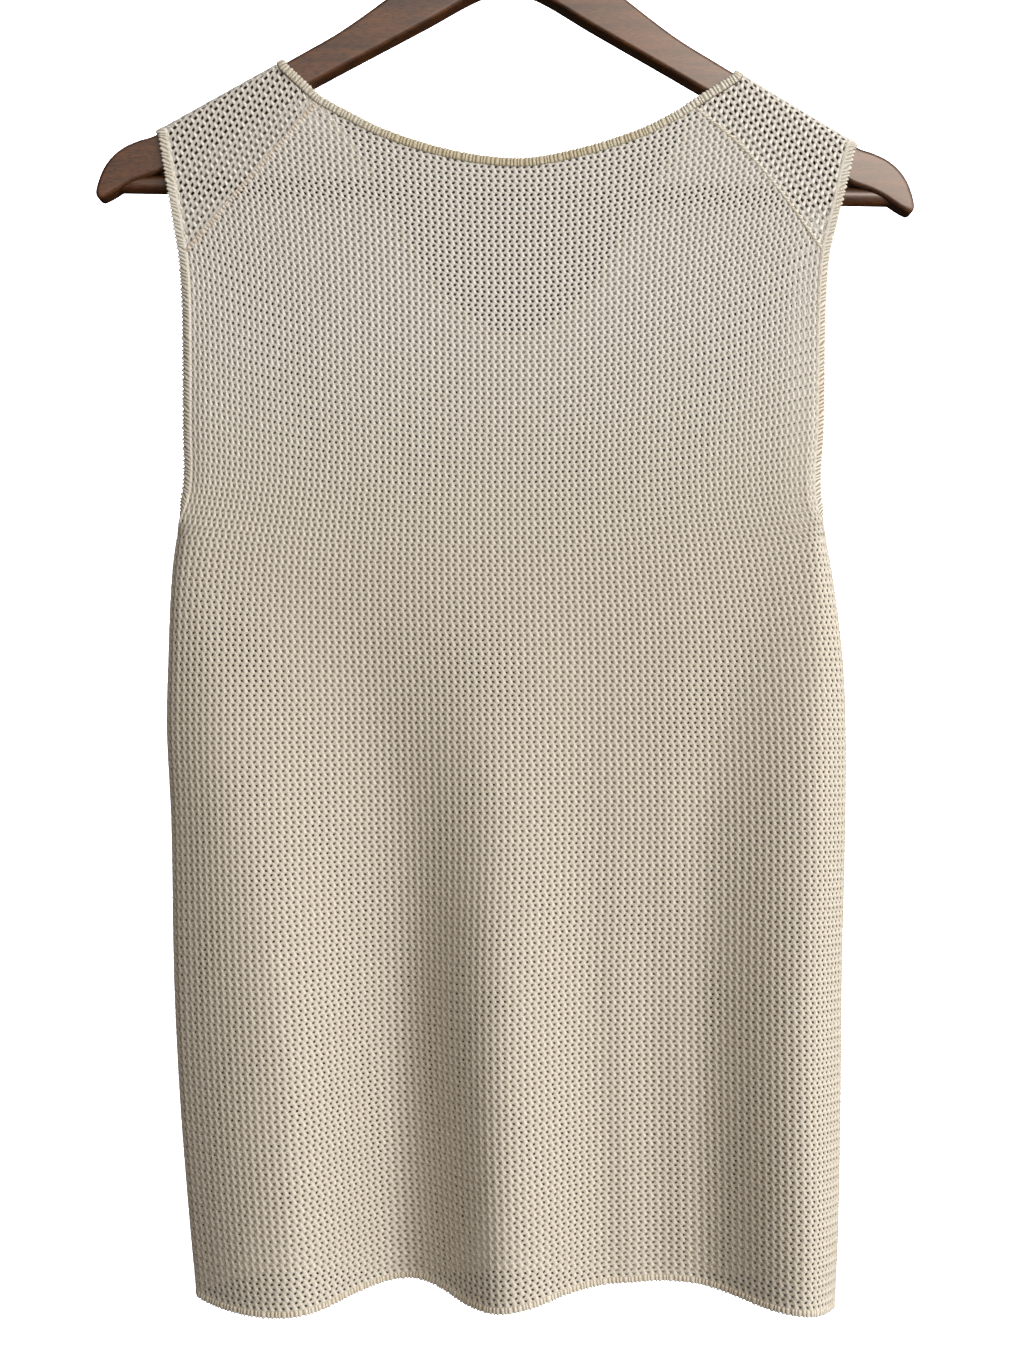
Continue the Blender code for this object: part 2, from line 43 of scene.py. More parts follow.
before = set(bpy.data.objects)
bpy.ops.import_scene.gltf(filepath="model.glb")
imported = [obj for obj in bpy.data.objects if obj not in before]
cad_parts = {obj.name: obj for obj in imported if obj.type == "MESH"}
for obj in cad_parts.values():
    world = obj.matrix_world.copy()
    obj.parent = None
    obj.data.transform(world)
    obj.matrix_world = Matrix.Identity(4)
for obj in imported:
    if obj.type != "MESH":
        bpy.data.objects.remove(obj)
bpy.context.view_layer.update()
BODY = "root"
MM = 0.001

# Cloth, as in the solids
WALL = 2.0
SEAM_GAP = 0.7
BAND_GAP = 0.6
BINDING_WIDTH = 4.6
HEM_WIDTH = 3.1

# Hanger, as in the solids
TILT = math.radians(1.0)
ARM_THICKNESS = 14.0
ARM_EDGE_ROUNDING = 2.3
BAR_RADIUS = 5.0
BAR_DROP = 207.8
BAR_HALF_LENGTH = 210.0
BAR_SIDES = 64
SHARP_ANGLE = math.radians(40)  # edges turned by more than this aren't smoothed over
WIRE_RADIUS = 2.0
HOOK_INNER_RADIUS = 18.0
HOOK_STEM_TOP = 44.0
HOOK_ARC_START = math.radians(-50)
HOOK_ARC_END = math.radians(212)
HOOK_FOOT = 0.5  # how far the stem reaches into the wood
HOOK_BEND = 0.4  # how far its bend reaches out, as a share of its ends' distance
HOOK_BEND_STEPS, HOOK_ARC_STEPS = 10, 40
ARM_TOP = (  # out from the middle, drop
    (0, 60.0), (13, 62.5), (29, 74.5), (48, 92.0), (68, 107.8), (91, 124.6), (110, 136.0),
    (148, 158.0), (182, 177.6), (191, 182.8), (199, 185.4), (207, 189.2), (213.5, 194.8),
    (217.8, 201.2), (220.4, 208.2), (221.5, 213.6), (220.7, 216.4), (218.6, 217.4),
)
ARM_BOTTOM = (  # out from the middle, drop: beside the bar up to 2 mm lower than the solid's
    (216.5, 216.6), (212.5, 214.4), (205.6, 209.8), (198, 206.0), (186, 201.6), (176, 195.0),
    (140, 172.5), (95, 147.0), (44, 118.8), (16, 103.0), (0, 98.5),
)
ARM_TOP_STEPS, ARM_BOTTOM_STEPS = 160, 60
STRAIGHT_ARM = (110.0, 191.0)  # where the arm's top is straight, out from the middle

# Where the cloth lies on the arms
LIE_CLEARANCE = 1.1
LIE_HALF_GAP = ARM_THICKNESS / 2 + LIE_CLEARANCE + WALL / 2
LIE_TURN = 5.5  # height of the round over the arm
LIE_SQUARENESS = 2.6  # exponent of that round, 2 for an ellipse
STRAP_ON_ARM = {"left": (-125.5, -185.2), "right": (128.2, 186.0)}  # neck side, armhole side

# Edges of the panels: (drop, x)
EDGE_OF_PANEL = {
    "left": (
        (203, -182.6), (221, -179.2), (242, -175.3), (270, -173.4), (335, -172.9), (372, -173.2),
        (394, -181.0), (420, -184.4), (463, -186.2), (500, -187.0), (550, -184.6), (637, -183.0),
        (702, -179.8), (768, -174.6), (806, -171.0),
    ),
    "right": (
        (203, 177.2), (221, 171.9), (241, 166.9), (270, 164.8), (335, 163.8), (375, 162.4),
        (397, 169.6), (420, 174.0), (463, 179.2), (500, 180.8), (550, 180.6), (637, 178.6),
        (702, 178.0), (768, 176.8), (811, 175.0),
    ),
}
OUT = {"left": -1.0, "right": 1.0}  # which way along x each side lies
UNDERARM = {"left": 394.0, "right": 397.0}
ARMHOLE_BOTTOM = 14.0  # height of the armhole's rounded bottom
BACK_HEM = (  # x, drop of the free edge
    (-171, 806.8), (-153, 809.9), (-130, 811.0), (-107, 809.4), (-83, 805.0), (-55, 802.3),
    (-38, 804.4), (-22, 808.2), (-6, 809.2), (10, 807.0), (32, 803.0), (66, 801.5), (86, 802.0),
    (106, 804.9), (130, 809.0), (152, 811.0), (168, 813.3), (175, 814.0),
)
FRONT_HEM = (
    (-171, 806.8), (-122, 807.0), (-52, 804.0), (22, 808.0), (84, 806.0), (134, 811.0),
    (175, 814.0),
)
SHOULDER_SEAM = {  # x, drop
    "left": ((-175.3, 242.0), (-141.0, 202.5), (-106.0, 163.0)),
    "right": ((166.9, 241.0), (145.0, 210.5), (125.0, 187.0), (99.5, 165.5)),
}
BACK_NECK = (
    (-106.0, 163.0), (-92.0, 170.7), (-69.0, 182.0), (-33.0, 193.0), (3.0, 197.4), (33.0, 193.0),
    (69.0, 182.0), (91.0, 171.2), (99.5, 165.5),
)
FRONT_NECK = (
    (-104.2, 165.8), (-82.5, 195.6), (-60.4, 234.4), (-34.6, 271.3), (1.7, 289.0), (37.9, 271.3),
    (63.7, 234.4), (85.8, 195.6), (107.5, 165.8),
)

SIDE_FULLNESS = 1.8  # slope beside the tube's rounded sides, as a share of the slope up to the first crease
ROUND_STEPS, FOLD_STEPS = 9, 121  # points on a rounded side and on the folds between the two

# Folds that the body hangs in: place and depth of each crease at four levels
FOLD_LEVELS = (430.0, 540.0, 650.0, 808.0)
SMOOTH_LEVELS = ((180.0, LIE_HALF_GAP), (250.0, LIE_HALF_GAP), (340.0, 11.0))
BACK_CREASES = (  # x at each level, then y at each level
    {"x": (-164, -147, -128, -118), "y": (-11, -19, -25, -30)},  # left ridge
    {"x": (-92, -66, -63, -57), "y": (-9, -3, 5, 11)},  # left trough
    {"x": (-17, -8, -6, -2), "y": (-12, -18, -25, -30)},  # middle ridge
    {"x": (48, 50, 52, 60), "y": (-11, -10, -7, 0)},  # middle trough
    {"x": (83, 80, 80, 82), "y": (-11, -9, -3, 4)},  # step in the middle trough
    {"x": (130, 104, 98, 97), "y": (-10, -7, -3, 3)},  # right trough
    {"x": (163, 159, 154, 155), "y": (-12, -19, -24, -29)},  # right ridge
)
FRONT_CREASES = (
    {"x": (-140, -135, -128, -122), "y": (12, 20, 30, 38)},  # left ridge
    {"x": (-70, -66, -60, -52), "y": (11, 16, 22, 27)},  # left trough
    {"x": (-5, 4, 14, 22), "y": (12, 22, 33, 42)},  # middle ridge
    {"x": (60, 66, 74, 84), "y": (11, 16, 23, 29)},  # right trough
    {"x": (120, 124, 130, 134), "y": (12, 21, 31, 39)},  # right ridge
)
PANELS = {
    "back": {"face": -1, "creases": BACK_CREASES, "hem": BACK_HEM},
    "front": {"face": 1, "creases": FRONT_CREASES, "hem": FRONT_HEM},
}

# Run of the knit
COURSE_RISE = (  # drop at the middle, how fast a course rises to the sides, as height over x squared
    (200, 0.00145), (267, 0.00145), (322, 0.0010), (376, 0.0005), (430, 0.00025), (490, 0.0),
    (800, 0.0),
)
WALE_CROWDING = ((322, 0.1), (485, 0.0))  # drop, how much closer the wales stand at the sides
HOLE_CLOSING = ((290, 1.0), (440, 0.86))  # drop, size of the holes, pulled narrower by the cloth's weight
WALE_LEAN = 0.12  # outward lean of the outermost wales above the shoulder seams
STRAP_WALE = (-2.4, -3.2)  # one wale over on a strap, on the left of the back: towards the armhole and down
STRAP_STEP = (-1.9, 2.28)  # one course up on a strap: towards the shoulder's neck side
STRAP_ACROSS, STRAP_TURN, STRAP_ALONG = 41, 25, 61  # points of a strap's form
STRAP_AIM = 20  # the point along a strap that its direction is taken towards
STRAP_LINES = 161  # lines down a strap and beside it, from which the place of a stitch is found
KNIT_TOP, KNIT_END = 160.0, 806.0  # drops between which the courses are counted
HEM_FADE = 120.0  # height over which the courses take up the wave of the hem
FORM_TOP, FORM_END, LEVEL_STEP = 132.0, 820.0, 4.0  # drops at which a panel's form is worked out
SECTION_STEPS = 160
EVEN_HEIGHT = 30.0  # height over which the wales even out a step in the panel's width
EDGE_HOLD = 12  # how closely that evening keeps away from the panel's edges, as an exponent
TUCK = 0.8  # how far the knit reaches under the bands on its edges
CORNER = 0.001  # how near to a corner of its stitch a vertex of the net counts as on it

# Points of the lines that bands and seams follow
NECK_FRONT_STEPS, NECK_BACK_STEPS = 80, 60
ARMHOLE_STEPS = {"bottom": 10, "front": 30, "back": 20}
HEM_STEPS, SIDE_SEAM_STEPS = 201, 120
SIDE_SEAM_GAP = 2.0  # how far below the armhole's bottom a side seam starts

# Ribbed bands: reach over the cloth and past its edge, thickness, spacing, slant and relief of the ribs, and
# extras. The real ribs of the armholes, hem and shoulder seams are 1.6 mm apart, too fine to show, and are
# drawn 2.2 mm apart.
RIB_PITCH = 2.2
SEAM_SLANT = 0.8
BAND_STEPS = 16
BAND_SQUARENESS = 0.75  # exponent that fills out a band's round section
TOOTH_REACH = 1.2  # width of the free edge that the teeth stand out from
RIB_SWAY = 0.13  # how far the ribs stand off their even places, as a share of their pitch
RIB_SWAYS = (0.11, 0.23, 0.41)  # waves of that a rib
BAND_EXTRAS = {"teeth": 0.0, "curl": 0.0, "lift": 0.0, "closed": True, "side": 1.0, "foot": None}
NECK_BAND = dict(
    inner=-0.3, outer=BAND_GAP + BINDING_WIDTH, thickness=1.7, pitch=2.07, slant=0.0, relief=0.2, teeth=0.35
)
ARMHOLE_BAND = dict(
    inner=0.5, outer=BAND_GAP + BINDING_WIDTH, thickness=1.3, pitch=RIB_PITCH, slant=0.6, relief=0.35,
    teeth=0.6, curl=2.4, lift=-0.35,
)
HEM_BAND = dict(
    inner=0.0, outer=BAND_GAP + HEM_WIDTH, thickness=1.5, pitch=RIB_PITCH, slant=0.0, relief=0.25, teeth=0.5
)
FLAT_SEAM = dict(
    inner=1.2, outer=1.3, thickness=0.9, pitch=RIB_PITCH, slant=0.0, relief=0.3, lift=0.1, teeth=0.5
)
RAISED_SEAM = dict(inner=0.8, outer=0.8, thickness=1.1, pitch=RIB_PITCH, slant=SEAM_SLANT, relief=0.25)
SIDE_SEAM = dict(inner=1.1, outer=1.1, thickness=1.4, pitch=1.6, slant=0.6, relief=0.15)
FOOT_HEIGHT = 22.0  # height over which the armholes' bands narrow down to the underarm
FOOT_WIDTH = 0.4  # their width there, as a share of the full one
CURL_START, CURL_HEIGHT = 215.0, 70.0  # drop below which their free edge curls in, and over how much height

# Studio, in metres: lights are placed from the camera's height, in watts
SKY_TURN = math.radians(50)  # azimuth of the broad light, to the right of the camera
SKY_LIFT = 0.25  # how far up it comes from, as a share of its way
SKY_DIM, SKY_BRIGHT = 0.05, 1.35  # strength on the left and on the right
SKY_FADE, SKY_FULL = -0.1, 0.75  # cosine off the light's middle at which it is dim and full
SKY_BELOW = 0.3  # share of it from below
SKY_LOW, SKY_HIGH = -0.6, -0.05  # sine of the elevation at which it has that share and all of it
KEY_PLACE = (1.7, -1.35, 0.42)
KEY_LIGHT = {"size": (0.6, 0.8), "power": 27}
SHEEN_PLACE, SHEEN_AIM = (0.45, -1.1, 0.7), (0.2, 0, -0.18)
WOOD_SHEEN = {"size": (0.3, 0.3), "power": 17, "tint": "FFEBDA"}
FAR_PLACE = (-0.9, 1.6, 1.3)
FAR_LIGHT = {"size": (0.9, 0.9), "power": 27}
BACKDROP_LIGHT = {"size": (0.03, 0.03), "power": 620}
BOARD_HALF_SIZE = 2.5
WALL_COLOUR, FLOOR_COLOUR = "45474B", "F2F1EE"

# Flag, in millimetres
FLAG_STEPS = 80
FLAG_TOP = 200.0  # first guess of its upper edge's drop
FLAG_HEM = 0.5  # how far its lower edge ends above the hem's
FLAG_DEPTH = 3.0  # how far inside the cloth it stands
FLAG_EDGE = 3.0  # how far its upper edge reaches past the cloth's
FLAG_SPREAD = 1.008  # how much wider than the cloth it is


# ---------------------------------------------------------------- curves and blends


def lerp(a, b, t):
    return a + (b - a) * t


def smooth_step(t):
    t = np.clip(t, 0.0, 1.0)
    return t * t * (3 - 2 * t)


def through(points, at):
    """Values at `at` of a smooth curve through (position, value) points, held at its ends."""
    places, values = np.array(points, float).T
    at = np.clip(at, places[0], places[-1])
    i = np.clip(np.searchsorted(places, at, side="right") - 1, 0, len(places) - 2)
    low = np.maximum(np.arange(len(places)) - 1, 0)
    high = np.minimum(np.arange(len(places)) + 1, len(places) - 1)
    slopes = (values[high] - values[low]) / (places[high] - places[low])
    span = places[i + 1] - places[i]
    t = (at - places[i]) / span
    h00 = (1 + 2 * t) * (1 - t) ** 2
    h10 = t * (1 - t) ** 2
    h01 = t * t * (3 - 2 * t)
    h11 = t * t * (t - 1)
    return h00 * values[i] + h10 * span * slopes[i] + h01 * values[i + 1] + h11 * span * slopes[i + 1]


def lengths_along(points):
    """Length of a line of points from its start to each of them."""
    steps = np.linalg.norm(np.diff(points, axis=0), axis=1)
    return np.concatenate(([0.0], np.cumsum(steps)))


def between(at, places, points):
    """Points at `at` on straight lines through the points at these places."""
    return np.column_stack([np.interp(at, places, column) for column in points.T])


def curved(at, places, points):
    """The same on smooth curves."""
    return np.column_stack([through(np.column_stack((places, column)), at) for column in points.T])


def spread_along(points, fractions):
    """Points at these fractions of the length of a smooth line through (x, drop) points."""
    points = np.array(points, float)
    lengths = lengths_along(points)
    return curved(np.asarray(fractions) * lengths[-1], lengths, points)


def smooth_line(points, steps=60):
    """A smooth line through (x, drop) points, in even steps."""
    return spread_along(points, np.linspace(0, 1, steps + 1))


def unit(vectors):
    """Vectors made one long."""
    return vectors / np.maximum(np.linalg.norm(vectors, axis=-1, keepdims=True), 1e-9)


def tilted(x, drop):
    """A point of the upright hanger as it hangs, turned about the hanging point."""
    z = -drop
    return x * math.cos(TILT) + z * math.sin(TILT), x * math.sin(TILT) - z * math.cos(TILT)


# ---------------------------------------------------------------- the garment's form


def strap_on_arm(side, fraction):
    """A strap's middle line on the top of the arm and the direction down the arm's face, as (x, drop)."""
    neck, armhole = STRAP_ON_ARM[side]
    x = lerp(neck, armhole, fraction)
    inner, outer = STRAIGHT_ARM
    inner_drop, outer_drop = (float(through(ARM_TOP, reach)) for reach in STRAIGHT_ARM)
    slope = math.atan2(outer_drop - inner_drop, outer - inner)
    drop = inner_drop + (abs(x) - inner) * math.tan(slope)
    lift = (LIE_CLEARANCE + WALL / 2) / math.cos(slope)
    out = math.copysign(1.0, x)
    top = tilted(x, drop - lift)
    below = tilted(x - out * math.sin(slope), drop - lift + math.cos(slope))
    return top, (below[0] - top[0], below[1] - top[1])


def strap_foot(side, fraction):
    """Where a strap leaves the round over the arm, the same on both faces, as (x, drop)."""
    (x, drop), (dx, dd) = strap_on_arm(side, fraction)
    return x + dx * LIE_TURN, drop + dd * LIE_TURN


def panel_edge(side, drop):
    """x of the panels' edge at this drop: the armhole's edge above the underarm, the side seam below."""
    corner = strap_foot(side, 1.0)
    return through(((corner[1], corner[0]),) + EDGE_OF_PANEL[side], drop)


def lattice_edge(panel, side, drop):
    """x of the outermost wale, tucked under the armhole's band. On the back it carries on past the seam."""
    out = OUT[side]
    tuck = out * TUCK * math.sin(edge_angle(side, drop))
    if panel == "front":
        return panel_edge(side, drop) + tuck
    seam_end = SHOULDER_SEAM[side][0][1]
    return panel_edge(side, max(drop, seam_end)) + tuck + out * WALE_LEAN * max(seam_end - drop, 0.0)


def edge_angle(side, drop):
    """How far round the tube's side the panels' edge lies: 0 at the side seam, 90 degrees at an armhole."""
    rise = (UNDERARM[side] - drop) / ARMHOLE_BOTTOM
    return math.asin(math.sqrt(1 - (1 - min(max(rise, 0.0), 1.0)) ** 2))


def creases_at(creases, drop, face):
    """Place and depth of each crease at one drop, as (x, y). face is -1 on the back and 1 on the front."""
    found = []
    for crease in creases:
        above = tuple((level, face * depth) for level, depth in SMOOTH_LEVELS)
        depth = through(above + tuple(zip(FOLD_LEVELS, crease["y"])), drop)
        found.append((float(through(tuple(zip(FOLD_LEVELS, crease["x"])), drop)), float(depth)))
    return found


def side_round(face, edge, out, angle, crease):
    """The tube's rounded side, (x, y) from the panels' edge, until it slopes as the cloth does beside it."""
    centre = edge - out * LIE_HALF_GAP * math.cos(angle)
    slope = 0.0
    for _ in range(6):
        reach = abs(centre + out * LIE_HALF_GAP * math.sin(slope) - crease[0])
        rise = face * crease[1] - LIE_HALF_GAP * math.cos(slope)
        slope = max(math.atan2(SIDE_FULLNESS * rise, reach), 0.0)
    turn = np.linspace(angle, max(math.pi / 2 - slope, angle), ROUND_STEPS)
    x = centre + out * LIE_HALF_GAP * np.cos(turn)
    y = face * np.maximum(LIE_HALF_GAP * np.sin(turn), SEAM_GAP / 2)
    return np.column_stack((x, y)), slope


def on_creases(knots, x, slopes):
    """y at x on the folds through the knots (x, y). The first and last fold start at the sides' slopes."""
    places, depths = np.array(knots).T
    i = np.clip(np.searchsorted(places, x, side="left") - 1, 0, len(places) - 2)
    t = (x - places[i]) / (places[i + 1] - places[i])
    y = lerp(depths[i], depths[i + 1], smooth_step(t))
    last = len(places) - 2
    y = y + np.where(i == 0, slopes[0] * (places[1] - places[0]) * t * (1 - t) ** 2, 0.0)
    return y + np.where(i == last, slopes[1] * (places[last + 1] - places[last]) * (1 - t) * t**2, 0.0)


def section(panel, drop):
    """Points (x, y) of a panel's middle surface at one drop, from its left edge to its right one."""
    face = PANELS[panel]["face"]
    creases = creases_at(PANELS[panel]["creases"], drop, face)
    rounds, slopes = [], []
    for side, crease in (("left", creases[0]), ("right", creases[-1])):
        edge = float(lattice_edge(panel, side, drop))
        points, slope = side_round(face, edge, OUT[side], edge_angle(side, drop), crease)
        rounds.append(points)
        slopes.append(face * math.tan(slope))
    left, right = rounds
    knots = [left[-1]] + creases + [right[-1]]
    x = np.linspace(left[-1, 0], right[-1, 0], FOLD_STEPS)
    y = on_creases(knots, x, slopes)
    return np.concatenate((left, np.column_stack((x, y))[1:-1], right[::-1]))


def evened(values):
    """Values at the levels, smoothed over EVEN_HEIGHT."""
    reach = int(3 * EVEN_HEIGHT / LEVEL_STEP)
    weights = np.exp(-((np.arange(-reach, reach + 1) * LEVEL_STEP / EVEN_HEIGHT) ** 2) / 2)
    padded = np.pad(values, reach, mode="edge")
    return np.convolve(padded, weights / weights.sum(), mode="valid")


def panel_form(panel):
    """The panel's sections at even levels, each at even steps from edge to edge: drops, points[level][step].

    The steps follow the wales, which run smoothly past the armholes' bottoms, where the width has a step.
    """
    drops = np.arange(FORM_TOP, FORM_END, LEVEL_STEP)
    curves = []
    for drop in drops:
        points = section(panel, drop)
        lengths = lengths_along(points)
        curves.append((points, lengths - np.interp(0.0, points[:, 0], lengths)))
    ends = np.array([(lengths[0], lengths[-1]) for _, lengths in curves])
    even_ends = np.column_stack([evened(column) for column in ends.T])
    share = np.linspace(0, 1, SECTION_STEPS + 1)
    rows = []
    for (points, lengths), (left, right), (even_left, even_right) in zip(curves, ends, even_ends):
        at = lerp(even_left, even_right, share)
        at = at + (left - even_left) * (1 - share) ** EDGE_HOLD + (right - even_right) * share**EDGE_HOLD
        rows.append(between(at, lengths, points))
    return drops, np.array(rows)


def sample(table, row, column):
    """Values of table[row][column][...] between its rows and columns."""
    row, column = (np.clip(at, 0, size - 1.001) for at, size in zip((row, column), table.shape))
    r, c = row.astype(int), column.astype(int)
    fr, fc = (row - r)[:, None], (column - c)[:, None]
    return lerp(lerp(table[r, c], table[r, c + 1], fc), lerp(table[r + 1, c], table[r + 1, c + 1], fc), fr)


def on_panel(form, face, share, drop):
    """Points and outward normals on a panel, at shares of its width and at drops."""
    drops, table = form
    row = (drop - drops[0]) / LEVEL_STEP
    column = share * SECTION_STEPS
    flat = sample(table, row, column)
    step = sample(table, row, column + 0.5) - sample(table, row, column - 0.5)
    points = np.column_stack((flat, -drop))
    normals = unit(np.column_stack((-face * step[:, 1], face * step[:, 0], np.zeros(len(step)))))
    return points, normals


def strap_form(side):
    """A strap's middle surface and normals: table[across][along], from armhole to neck and seam to front."""
    across = np.linspace(0, 1, STRAP_ACROSS)
    seam = spread_along(SHOULDER_SEAM[side], across)
    rows, reaches = [], []
    for share, (seam_x, seam_drop) in zip(across, seam):
        (x, drop), (dx, dd) = strap_on_arm(side, 1 - share)
        points = []
        for angle in np.linspace(0, math.pi, STRAP_TURN):
            part = math.copysign(abs(math.cos(angle)) ** (2 / LIE_SQUARENESS), math.cos(angle))
            down = LIE_TURN * (1 - max(math.sin(angle), 0.0) ** (2 / LIE_SQUARENESS))
            points.append((x + dx * down, LIE_HALF_GAP * part, -(drop + dd * down)))
        points.append((seam_x, -LIE_HALF_GAP, -seam_drop))
        points = np.array(points[::-1])
        lengths = lengths_along(points)
        rows.append(between(np.linspace(0, lengths[-1], STRAP_ALONG), lengths, points))
        reaches.append(lengths[-1])
    table = np.array(rows)
    normals = unit(np.cross(np.gradient(table, axis=0), np.gradient(table, axis=1)))
    outwards = np.sign((normals[..., 1] * table[..., 1]).sum())
    return table, normals * outwards, np.array(reaches)


# ---------------------------------------------------------------- lines that edges and seams follow


def top_line(panel):
    """Upper outline of a panel's body as (x, drop), from left to right."""
    if panel == "back":
        parts = [SHOULDER_SEAM["left"], BACK_NECK, SHOULDER_SEAM["right"][::-1]]
    else:
        left = [strap_foot("left", share) for share in (1.0, 0.0)]
        right = [strap_foot("right", share) for share in (0.0, 1.0)]
        parts = [left, (left[1],) + FRONT_NECK + (right[0],), right]
    return np.concatenate([smooth_line(part) for part in parts])


def depth_on(panel, line):
    """Points (x, y, z) on a panel for a line of (x, drop)."""
    points = []
    for x, drop in line:
        curve = section(panel, float(drop))
        points.append((x, np.interp(x, curve[:, 0], curve[:, 1]), -drop))
    return np.array(points)


def chained(parts):
    """One line with its normals, from several that follow each other."""
    return [np.concatenate(group) for group in zip(*parts)]


def facing(points, face):
    """The same normal for all points, straight out of a panel."""
    return np.tile((0.0, float(face), 0.0), (len(points), 1))


def strap_edge(side, column, front_first):
    """Line of a strap's edge with its normals."""
    table, normals, _ = strap_form(side)
    points, outward = table[column], normals[column]
    return (points[::-1], outward[::-1]) if front_first else (points, outward)


def neck_ring():
    """Line of the neck's edge with its normals: the front from left to right, over, and the back."""
    left, right = strap_foot("left", 0.0), strap_foot("right", 0.0)
    front = depth_on("front", smooth_line((left,) + FRONT_NECK + (right,), NECK_FRONT_STEPS)[1:-1])
    back = depth_on("back", smooth_line(BACK_NECK, NECK_BACK_STEPS)[::-1][1:-1])
    over_right, over_left = strap_edge("right", -1, True), strap_edge("left", -1, False)
    return chained([(front, facing(front, 1)), over_right, (back, facing(back, -1)), over_left])


def armhole_ring(side):
    """Line of an armhole's edge with its normals: from the underarm up the front, over and down the back."""
    out = OUT[side]
    under = UNDERARM[side]
    corner = strap_foot(side, 1.0)[1]
    seam_end = SHOULDER_SEAM[side][0][1]

    def edge(drops, face):
        points, normals = [], []
        for drop in drops:
            angle = edge_angle(side, drop)
            points.append((float(panel_edge(side, drop)), face * LIE_HALF_GAP * math.sin(angle), -drop))
            normals.append((out * math.cos(angle), face * math.sin(angle), 0.0))
        return np.array(points), np.array(normals)

    rise = ARMHOLE_BOTTOM * (1 - np.cos(np.linspace(0, math.pi / 2, ARMHOLE_STEPS["bottom"])))
    turn = list(under - rise)
    front_rise = list(np.linspace(turn[-1], corner, ARMHOLE_STEPS["front"]))[1:-1]
    back_rise = list(np.linspace(turn[-1], seam_end, ARMHOLE_STEPS["back"]))[1:-1]
    front = edge(turn + front_rise, 1)
    back = edge((turn[1:] + back_rise)[::-1], -1)
    return chained([front, strap_edge(side, 0, True), back])


def hem_line(panel, share, free_edge_gap):
    """Drop of a panel's lower edge at shares of its width."""
    hem = PANELS[panel]["hem"]
    left, right = panel_edge("left", hem[0][1]), panel_edge("right", hem[-1][1])
    return through(hem, lerp(left, right, share)) - free_edge_gap


def hem_ring():
    """Line of the hem's edge with its normals: the back from left to right, the front from right to left."""
    share = np.linspace(0, 1, HEM_STEPS)
    parts = []
    for panel in ("back", "front"):
        drop = hem_line(panel, share, HEM_WIDTH + BAND_GAP)
        points, normals = on_panel(panel_form(panel), PANELS[panel]["face"], share, drop)
        if panel == "front":
            points, normals = points[::-1], normals[::-1]
        parts.append((points, normals))
    return chained(parts)


def shoulder_line(side):
    """Line of a shoulder seam with its normals, from the armhole to the neck."""
    line = smooth_line(SHOULDER_SEAM[side])
    points = np.column_stack((line[:, 0], np.full(len(line), -LIE_HALF_GAP), -line[:, 1]))
    return points, facing(points, -1)


def side_line(side):
    """Line of a side seam with its normals, from just below the armhole's band to the hem."""
    drops = np.linspace(UNDERARM[side] + SIDE_SEAM_GAP, KNIT_END, SIDE_SEAM_STEPS)
    points = np.array([(float(panel_edge(side, drop)), 0.0, -drop) for drop in drops])
    return points, np.tile((OUT[side], 0.0, 0.0), (len(points), 1))


# ---------------------------------------------------------------- materials


def linear(channel):
    return channel / 12.92 if channel <= 0.04045 else ((channel + 0.055) / 1.055) ** 2.4


def colour(hex_code):
    """Linear RGBA of an sRGB hex code such as E6DDC6."""
    return tuple(linear(int(hex_code[k : k + 2], 16) / 255) for k in (0, 2, 4)) + (1.0,)


SMOOTH = {"interpolation_type": "SMOOTHSTEP"}
RGBA = {"out": 2, "data_type": "RGBA"}  # a mix of colours, which is the node's third output


def feed(tree, node, inputs):
    """Links each input that is given as a node's output, and sets the others."""
    for name, value in inputs.items():
        if isinstance(value, bpy.types.NodeSocket):
            tree.links.new(value, node.inputs[name])
        else:
            node.inputs[name].default_value = value


def add(tree, kind, inputs=None, out=0, **settings):
    """Adds a node with its settings and inputs, and returns one of its outputs."""
    node = tree.nodes.new("ShaderNode" + kind)
    for name, value in settings.items():
        setattr(node, name, value)
    feed(tree, node, inputs or {})
    return node.outputs[out]


def tinted(tree, base, pattern, low, high, first, last):
    """The base colour, multiplied by a tint that runs from `first` to `last` with the pattern."""
    amount = add(tree, "MapRange", {0: pattern, 1: low, 2: high}, **SMOOTH)
    tint = add(tree, "Mix", {0: amount, 6: colour(first), 7: colour(last)}, **RGBA)
    return add(tree, "Mix", {0: 1.0, 6: base, 7: tint}, blend_type="MULTIPLY", **RGBA)


def new_material(name):
    """An empty node material with its tree and its Principled BSDF."""
    made = bpy.data.materials.new(name)
    made.use_nodes = True
    return made, made.node_tree, made.node_tree.nodes["Principled BSDF"]


def finish(tree, shader, base, relief, distance, strength, **constants):
    """Gives the shader its colour, a fine relief in metres and its constants."""
    bumps = add(tree, "Bump", {"Height": relief, "Distance": distance, "Strength": strength})
    feed(tree, shader, {"Base Color": base, "Normal": bumps})
    feed(tree, shader, {name.replace("_", " "): value for name, value in constants.items()})


YARN = {"Roughness": 0.85, "Sheen_Weight": 0.15}  # matt, with a faint bloom of fibres
STRAND_LEAN = 0.24  # how far off its wale a strand lies, to one side and the other, in stitches
STRAND_EDGE, STRAND_CORE = 0.24, 0.05  # half width of a strand's painted highlight and of its full middle
LOW_PAINTED_SHADE = (-0.45, -0.24)  # painted shade, the lower body a little darker and warmer than the top: height at which it is full, and where it ends
STITCH_FIBRES = 6.0  # patches of fibre a stitch, some 0.5 mm wide: single fibres are too fine to show

